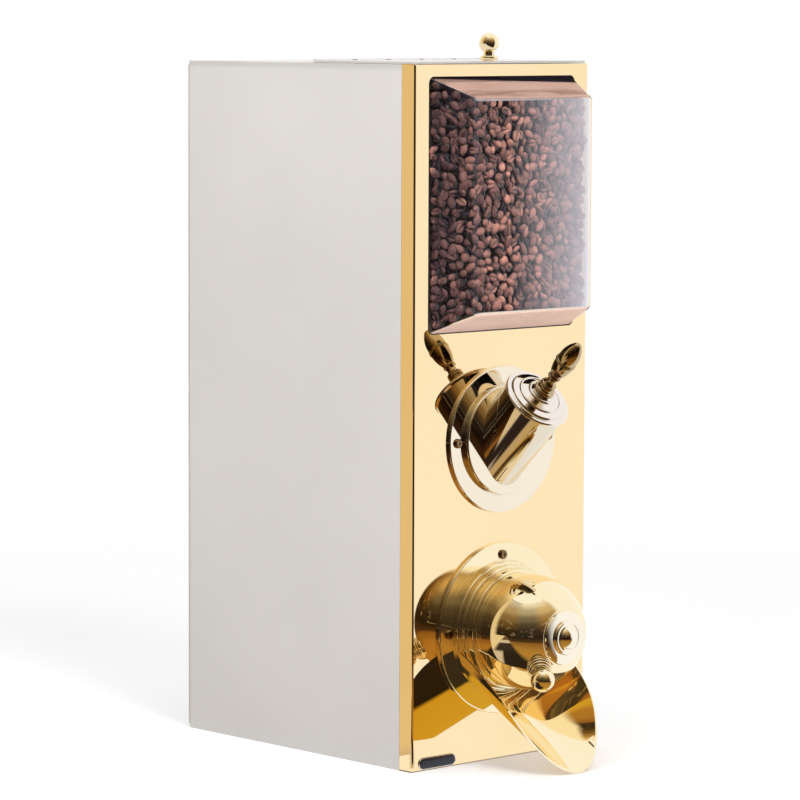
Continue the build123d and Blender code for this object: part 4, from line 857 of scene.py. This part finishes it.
        loops = []
        for ring in range(1, rings):
            along = pi * ring / rings
            loop = []
            for step in range(turns):
                angle = tau * step / turns
                angle += 0.3 * sin(2 * angle)
                x, y, z = cos(along), sin(along) * cos(angle), sin(along) * sin(angle)
                inside = 0.0
                if z < 0:
                    near = max(0.0, 1.0 - abs(y) / self.crease_width)
                    inside = near * min(1.0, (1.0 - abs(x)) * 5.0)
                    fading = max(0.0, 1.0 - abs(y) / self.bend_width)
                    y += self.bend_height * sin(x * self.bend_length) * bend * fading
                    z = -self.flat_depth * (1 - (1 + z) ** self.flat_curve)
                    z += self.crease_depth * inside**0.8
                loop.append(vertex_at(x, y, z, inside))
            loops.append(loop)
        for side, loop in ((1, loops[0]), (-1, loops[-1])):
            pole = vertex_at(side, 0, 0, 0.0)
            for step in range(turns):
                following = (step + 1) % turns
                near, next_one = (following, step) if side > 0 else (step, following)
                shape.faces.new((pole, loop[near], loop[next_one]))
        bridged(shape, loops)

    def add_backing(self, shape, depth_layer, beans):
        """Mass behind the layers, in full painted shade, so that nothing shows between beans."""
        made_before = len(shape.verts)
        depth = BUBBLE_PROUD - self.backing_inset
        loops = []
        for share in (0.0, 1.0):
            side = WINDOW_HALF - self.backing_inset - SIDE_SLOPE * share
            end = WINDOW_RISE - ACRYLIC - 0.0016 - END_SLOPE * share
            loops.append(rounded_loop(side, end, 0.004, PANEL_FACE - depth * share))
        lofted(shape, loops)
        low = beans.level - self.backing_drop
        x_half = HOPPER_HALF - 0.0025
        y_low, y_high = PANEL_FACE + 0.008, HOPPER_HIGH.y - 0.003
        corners = ((-x_half, y_low), (x_half, y_low), (x_half, y_high), (-x_half, y_high))
        shape.faces.new([shape.verts.new((x, y, low)) for x, y in corners])
        shape.verts.ensure_lookup_table()
        for vertex in shape.verts[made_before:]:
            # Deepest of all: the backing takes the full painted shade
            vertex[depth_layer] = 1.0

    def roasted(self, beans):
        """Oily roasted skin, with silver skin in the crease and painted shade."""
        made, web, shader = blank_material("roasted bean")
        roast, crease_share, under = (
            web.add("ShaderNodeAttribute", attribute_name=name).outputs["Fac"]
            for name in ("roast", "crease", "depth")
        )
        mottle = web.noise(web.point(), 520.0, 4.0, 0.62)
        fibre = web.noise(web.point(), 1900.0, 3.0, 0.6)
        share = web.maths("ADD", web.times(roast, 0.75), web.times(mottle, 0.35), clamp=True)
        skin = web.blend(share, beans.roast_dark, beans.roast_light)
        # Painted shade: darker beside the crease
        crease_flank_shade = web.times(web.ranged(crease_share, 0.1, 0.4), 0.75)
        skin = web.blend(crease_flank_shade, skin, tinted(beans.roast_dark, 0.3))
        skin = web.blend(web.ranged(crease_share, 0.68, 0.95, 0.0, 0.8), skin, beans.crease)

        # Painted shade: darker in the gaps, towards the window's left, and on the sides turned away
        # from the key lamp
        deep = tinted(beans.roast_dark, 0.16, 0.18, 0.55)
        gap_shade = web.ranged(under, 0.0008, 0.0044, 0.0, 0.98, smooth=True)
        x, y, _ = web.axes()
        left_shade = web.ranged(x, -WINDOW_HALF, -0.036, 0.93, 0.0)
        in_window = web.ranged(y, PANEL_FACE - 0.002, PANEL_FACE + 0.002, 1.0, 0.0)
        skin = web.blend(web.most(gap_shade, web.times(left_shade, in_window)), skin, deep)
        normal = web.add("ShaderNodeNewGeometry").outputs["Normal"]
        facing = web.vector("DOT_PRODUCT", normal, (-0.45, -0.60, 0.66))
        skin = web.blend(web.ranged(facing, -0.1, 0.85, 0.68, 0.0), skin, deep)
        height = web.maths("ADD", mottle, web.times(fibre, 0.4))
        finish = {
            "Base Color": skin,
            "Roughness": web.uneven(mottle, 0.30, 0.52),
            "Normal": web.bump(height, 0.0002, 0.6),
        }
        web.fill(shader, finish)
        return made


class DISPENSER_OT_badge(DispenserStep, Operator):
    """Bare dark badge plate with a bright rim, low on the front panel"""

    bl_idname = "dispenser.badge"
    bl_label = "Badge plate"

    def execute(self, context):
        badge = context.scene.dispenser_badge
        finishes = context.scene.dispenser_finishes
        dark = finishes.enamel
        enamel, web, shader = blank_material("badge enamel")
        cloud = web.noise(web.point(), 90.0, 4.0, 0.6)
        finish = {
            "Base Color": web.blend(cloud, dark, [min(1.0, part * 2.2 + 0.004) for part in dark]),
            "Roughness": web.uneven(cloud, 0.16, 0.3),
            "Coat Weight": 0.2,
            "Coat Roughness": 0.05,
            "Specular IOR Level": 0.35,
            "Normal": web.bump(web.noise(web.point(), 1600.0, 2.0), 0.00001, 0.5),
        }
        web.fill(shader, finish)
        zinc = polished_metal("badge rim", finishes.zinc, (0.8,), 0.1)

        half_height = badge.plate_height / 2
        half_length = badge.plate_length / 2
        middle = (badge.left_edge + half_length, badge.centre_height)
        rim = 0.0007
        rim_profile = ((0.0, 0.0), (0.0, 0.55), (rim * 0.35, 0.8), (rim * 0.8, 0.72), (rim, 0.45))
        plate_profile = ((rim * 0.9, 0.45), (rim * 1.1, 0.6), (rim * 2.0, 0.76), (rim * 3.4, 0.9))
        plate_profile += ((half_height * 0.8, 1.0),)
        for name, material, profile in (
            ("badge_rim", zinc, rim_profile),
            ("badge_plate", enamel, plate_profile),
        ):
            loops = []
            for inset, lift in profile:
                side, end = half_length - inset, half_height - inset
                y = PANEL_FACE - badge.thickness * lift
                loops.append(rounded_loop(side, end, end * 0.98, y, middle, 12))
            shape = bmesh.new()
            lofted(shape, loops, capped=name == "badge_plate")
            bmesh.ops.recalc_face_normals(shape, faces=shape.faces)
            new_piece(name, shape, material)
        return {"FINISHED"}


# Glow of the room that the metal mirrors. Each stop is a place along a share, and a colour.

COUNTER_AHEAD = (
    (0.0, 0.62, 0.37, 0.07),
    (0.17, 0.42, 0.22, 0.04),
    (0.32, 0.28, 0.13, 0.025),
    (0.46, 0.05, 0.022, 0.008),
    (1.0, 0.014, 0.007, 0.004),
)
COUNTER_UNDER_CHUTE = (
    (0.0, 0.64, 0.41, 0.04),
    (0.42, 0.62, 0.39, 0.03),
    (0.52, 0.010, 0.005, 0.004),
    (1.0, 0.012, 0.007, 0.006),
)
COUNTER_BESIDE = (
    (0.0, 0.62, 0.40, 0.12),
    (0.15, 0.62, 0.44, 0.22),
    (0.19, 0.03, 0.018, 0.014),
    (0.43, 0.035, 0.022, 0.018),
    (0.48, 0.62, 0.52, 0.40),
    (0.66, 0.62, 0.52, 0.40),
    (0.75, 0.14, 0.075, 0.03),
    (1.0, 0.14, 0.075, 0.03),
)
WALL_LIT = (
    (0.0, 0.012, 0.007, 0.005),
    (0.14, 0.040, 0.018, 0.005),
    (0.30, 0.16, 0.080, 0.018),
    (0.50, 0.34, 0.21, 0.075),
    (0.72, 0.66, 0.49, 0.25),
    (1.0, 0.92, 0.86, 0.76),
)
WALL_SHADOWED = (
    (0.0, 0.012, 0.009, 0.008),
    (0.14, 0.020, 0.014, 0.011),
    (0.30, 0.055, 0.042, 0.028),
    (0.50, 0.17, 0.140, 0.09),
    (0.72, 0.46, 0.40, 0.27),
    (1.0, 0.92, 0.88, 0.78),
)
WALL_STEEPEST = radians(66)
FLAG_SECTOR = (radians(-38), radians(160))
FLAG_STEPS = 64
FLAG_RADIUS = 3.2
FLOOR_RADIUS = 30.0
FLAG_TOP = 7.0
FLAG_FOOT = 0.004
COUNTER_INNER = 0.12

CAMERA_PLACE = (-2.4185, -2.6166, 0.6512)
CAMERA_YAW, CAMERA_PITCH, CAMERA_ROLL = radians(42.97), radians(5.53), radians(0.225)
LAMP_AIM = Vector((0, -0.05, 0.3))


class DISPENSER_OT_stage(DispenserStep, Operator):
    """Pale floor, soft lamps, studio flags that polished metal mirrors, and the camera"""

    bl_idname = "dispenser.stage"
    bl_label = "Stage"

    def execute(self, context):
        studio = context.scene.dispenser_studio
        self.make_world(context, studio)
        self.make_floor(studio)
        self.make_flags()
        self.make_lamps(studio)
        self.make_camera(context, studio)
        context.scene.view_settings.view_transform = "Standard"
        return {"FINISHED"}

    def seen(self, web, *kinds):
        """One for rays of some kinds."""
        path = web.add("ShaderNodeLightPath").outputs
        return web.most(*(path[f"Is {kind} Ray"] for kind in kinds))

    def make_world(self, context, studio):
        world = bpy.data.worlds.new("studio")
        context.scene.world = world
        world.use_nodes = True
        web = Web(world.node_tree)
        seen = self.seen(web, "Camera", "Glossy", "Transmission")
        strength = web.ranged(seen, 0.0, 1.0, studio.ambient, 1.0)
        web.fill(world.node_tree.nodes["Background"], {"Color": WHITE, "Strength": strength})

    def make_floor(self, studio):
        made, web, shader = blank_material("pale counter")
        away = web.vector("LENGTH", web.point())
        far = web.ranged(away, 0.55, 1.6, smooth=True)
        plain = web.most(far, self.seen(web, "Glossy", "Transmission"))
        cloud = web.noise(web.point(), 3.0)
        near = web.blend(cloud, studio.floor_white, tinted(studio.floor_white, 1.02))
        glow = web.ranged(plain, 0.0, 1.0, studio.floor_glow, 1.0)
        finish = {
            "Base Color": web.blend(plain, near, BLACK),
            "Roughness": 0.7,
            "Specular IOR Level": 0.0,
            "Emission Color": WHITE,
            "Emission Strength": web.times(self.seen(web, "Camera", "Glossy", "Transmission"), glow),
        }
        web.fill(shader, finish)
        shape = bmesh.new()
        bmesh.ops.create_circle(shape, cap_ends=True, segments=96, radius=FLOOR_RADIUS)
        new_object("floor", shape, made)

    def counter_glow(self, web, away, x, y):
        """Counter ahead of the dispenser, beside it and under its chute."""
        ahead = web.ramp(web.ranged(away, 0.1, 1.5), COUNTER_AHEAD)
        left = web.times(x, -1.0)
        under_chute = web.ramp(web.ranged(left, 0.0, 0.1), COUNTER_UNDER_CHUTE)
        striped = web.ramp(web.ranged(left, 0.0, 1.0), COUNTER_BESIDE)
        reach = web.add("ShaderNodeLightPath").outputs["Ray Length"]
        striped = web.blend(web.ranged(reach, 0.17, 0.25), under_chute, striped)
        beyond = web.ranged(y, -0.105, -0.06)
        beside_panel = web.ranged(y, -0.172, -0.158)
        near_panel = web.ranged(left, 0.20, 0.24, 1.0, 0.0)
        behind = web.most(beyond, web.times(beside_panel, near_panel))
        pale_tan = web.blend(beyond, (0.64, 0.53, 0.40), (0.80, 0.64, 0.38))
        light = web.blend(behind, striped, pale_tan)
        return web.blend(web.ranged(y, -0.29, -0.26), ahead, light)

    def wall_glow(self, web, away, z, between):
        """Wall that pales with height, dim in one sector, with marks of furniture low down."""
        rise = web.maths("ARCTANGENT", web.maths("DIVIDE", z, away))
        upward = web.ranged(rise, 0.0, WALL_STEEPEST)
        marks = web.ranged(web.noise(web.point(), (1.3, 1.3, 2.6), 4.0, 0.65), 0.56, 0.64, 0.0, 0.7)
        lit = web.blend(marks, web.ramp(upward, WALL_LIT), (0.42, 0.33, 0.22))
        furniture = web.times(marks, web.ranged(rise, 0.05, 0.3, 0.8, 0.0))
        shadowed = web.blend(furniture, web.ramp(upward, WALL_SHADOWED), (0.50, 0.40, 0.30))
        room = web.blend(between(32, 62, 0.0, 0.30), lit, BLACK)
        sector = web.times(between(10, 30), between(58, 76, 1.0, 0.0))
        return web.blend(sector, room, shadowed)

    def flag_material(self, name, on_floor):
        """Glow of a dim warm room. It fades to white towards its ends and its top."""
        made = bpy.data.materials.new(name)
        made.use_nodes = True
        made.node_tree.nodes.clear()
        web = Web(made.node_tree)
        x, y, z = web.axes()
        bearing = web.maths("ARCTAN2", web.times(x, -1.0), web.times(y, -1.0))
        level = web.add("ShaderNodeCombineXYZ", {"X": x, "Y": y}).outputs[0]
        away = web.vector("LENGTH", level)

        def between(low, high, *to, smooth=False):
            """Share that changes between two bearings in degrees."""
            return web.ranged(bearing, radians(low), radians(high), *to, smooth=smooth)

        room = self.counter_glow(web, away, x, y) if on_floor else self.wall_glow(web, away, z, between)
        warm = web.blend(between(106, 114), room, (0.78, 0.62, 0.36))
        white_share = web.most(between(-37, -20, 1.0, 0.0, smooth=True), between(146, 160))
        if on_floor:
            # White where the panel itself mirrors the counter beyond a slanting line
            way = (0.73, 0.68, 0)
            before = web.vector("DOT_PRODUCT", web.point(), way)
            corner = PANEL_LOW.x * way[0] + PANEL_FACE * way[1]
            hops = web.add("ShaderNodeLightPath").outputs["Ray Depth"]
            mirrored = web.times(
                web.ranged(before, corner, -0.176),
                web.maths("LESS_THAN", hops, 1.5),
                web.maths("LESS_THAN", y, -0.1),
            )
            white_share = web.most(white_share, mirrored)
        final = web.blend(white_share, warm, WHITE)
        glow = web.add("ShaderNodeEmission", {"Color": final, "Strength": 1.0})
        web.add("ShaderNodeOutputMaterial", {"Surface": glow.outputs[0]})
        return made

    def make_flags(self):
        """Curved wall and floor sector, seen by mirror rays alone."""
        first, last = FLAG_SECTOR
        for name, low_loop, high_loop in (
            ("room_flag", (FLAG_RADIUS, FLAG_FOOT), (FLAG_RADIUS, FLAG_TOP)),
            ("counter_flag", (COUNTER_INNER, FLAG_FOOT), (FLAG_RADIUS, FLAG_FOOT)),
        ):
            shape = bmesh.new()
            previous = None
            for step in range(FLAG_STEPS + 1):
                turn = first + (last - first) * step / FLAG_STEPS
                pair = [
                    shape.verts.new((-sin(turn) * reach, -cos(turn) * reach, z))
                    for reach, z in (low_loop, high_loop)
                ]
                if previous:
                    shape.faces.new((previous[0], pair[0], pair[1], previous[1]))
                previous = pair
            flag = new_object(name, shape, self.flag_material(name, name == "counter_flag"))
            hide(flag, "camera", "diffuse", "transmission", "volume_scatter", "shadow")

    def make_lamps(self, studio):
        for name, power, size, place in (
            ("key", studio.key_power, 1.2, (-0.7, -2.6, 2.5)),
            ("fill", studio.fill_power, 1.8, (-2.5, -0.7, 1.3)),
            ("top", studio.top_power, 1.6, (-0.2, 0.1, 2.8)),
        ):
            lamp = bpy.data.lights.new(name, "AREA")
            lamp.shape, lamp.size, lamp.energy = "SQUARE", size, power
            placed = bpy.data.objects.new(name, lamp)
            bpy.context.scene.collection.objects.link(placed)
            placed.location = place
            placed.rotation_euler = (LAMP_AIM - Vector(place)).to_track_quat("-Z", "Y").to_euler()
            hide(placed, "camera", "glossy")

    def make_camera(self, context, studio):
        flat = cos(CAMERA_PITCH)
        ahead = Vector((sin(CAMERA_YAW) * flat, cos(CAMERA_YAW) * flat, -sin(CAMERA_PITCH)))
        level = Vector((cos(CAMERA_YAW), -sin(CAMERA_YAW), 0))
        above = level.cross(ahead)
        right = level * cos(CAMERA_ROLL) + above * sin(CAMERA_ROLL)
        up = above * cos(CAMERA_ROLL) - level * sin(CAMERA_ROLL)
        lens = bpy.data.cameras.new("camera")
        lens.lens = studio.focal_length
        lens.sensor_width = 36.0
        lens.clip_start, lens.clip_end = 0.1, 100.0
        camera = bpy.data.objects.new("camera", lens)
        context.scene.collection.objects.link(camera)
        turned = Matrix((right, up, -ahead)).transposed().to_4x4()
        camera.matrix_world = Matrix.Translation(CAMERA_PLACE) @ turned
        context.scene.camera = camera


STEPS = (
    DISPENSER_OT_stage,
    DISPENSER_OT_front_panel,
    DISPENSER_OT_side_sheets,
    DISPENSER_OT_inner_sheets,
    DISPENSER_OT_gate_fitting,
    DISPENSER_OT_outlet_fitting,
    DISPENSER_OT_fasteners,
    DISPENSER_OT_piston,
    DISPENSER_OT_window,
    DISPENSER_OT_window_film,
    DISPENSER_OT_beans,
    DISPENSER_OT_badge,
)
GROUPS = {
    "dispenser_finishes": DispenserFinishes,
    "dispenser_beans": DispenserBeans,
    "dispenser_badge": DispenserBadge,
    "dispenser_studio": DispenserStudio,
}


class DISPENSER_PT_sidebar(Panel):
    """Settings and steps of the dispenser"""

    bl_label = "Coffee bean dispenser"
    bl_idname = "DISPENSER_PT_sidebar"
    bl_space_type = "VIEW_3D"
    bl_region_type = "UI"
    bl_category = "Dispenser"

    def draw(self, context):
        for name, group in GROUPS.items():
            box = self.layout.box()
            for setting in group.__annotations__:
                box.prop(getattr(context.scene, name), setting)
        for step in STEPS:
            self.layout.operator(step.bl_idname)


def register():
    for name, group in GROUPS.items():
        bpy.utils.register_class(group)
        setattr(bpy.types.Scene, name, bpy.props.PointerProperty(type=group))
    for kind in (*STEPS, DISPENSER_PT_sidebar):
        bpy.utils.register_class(kind)


def unregister():
    for kind in (*reversed(STEPS), DISPENSER_PT_sidebar):
        bpy.utils.unregister_class(kind)
    for name, group in GROUPS.items():
        delattr(bpy.types.Scene, name)
        bpy.utils.unregister_class(group)


def main():
    register()
    for step in STEPS:
        family, name = step.bl_idname.split(".")
        getattr(getattr(bpy.ops, family), name)()


if __name__ == "__main__":
    main()
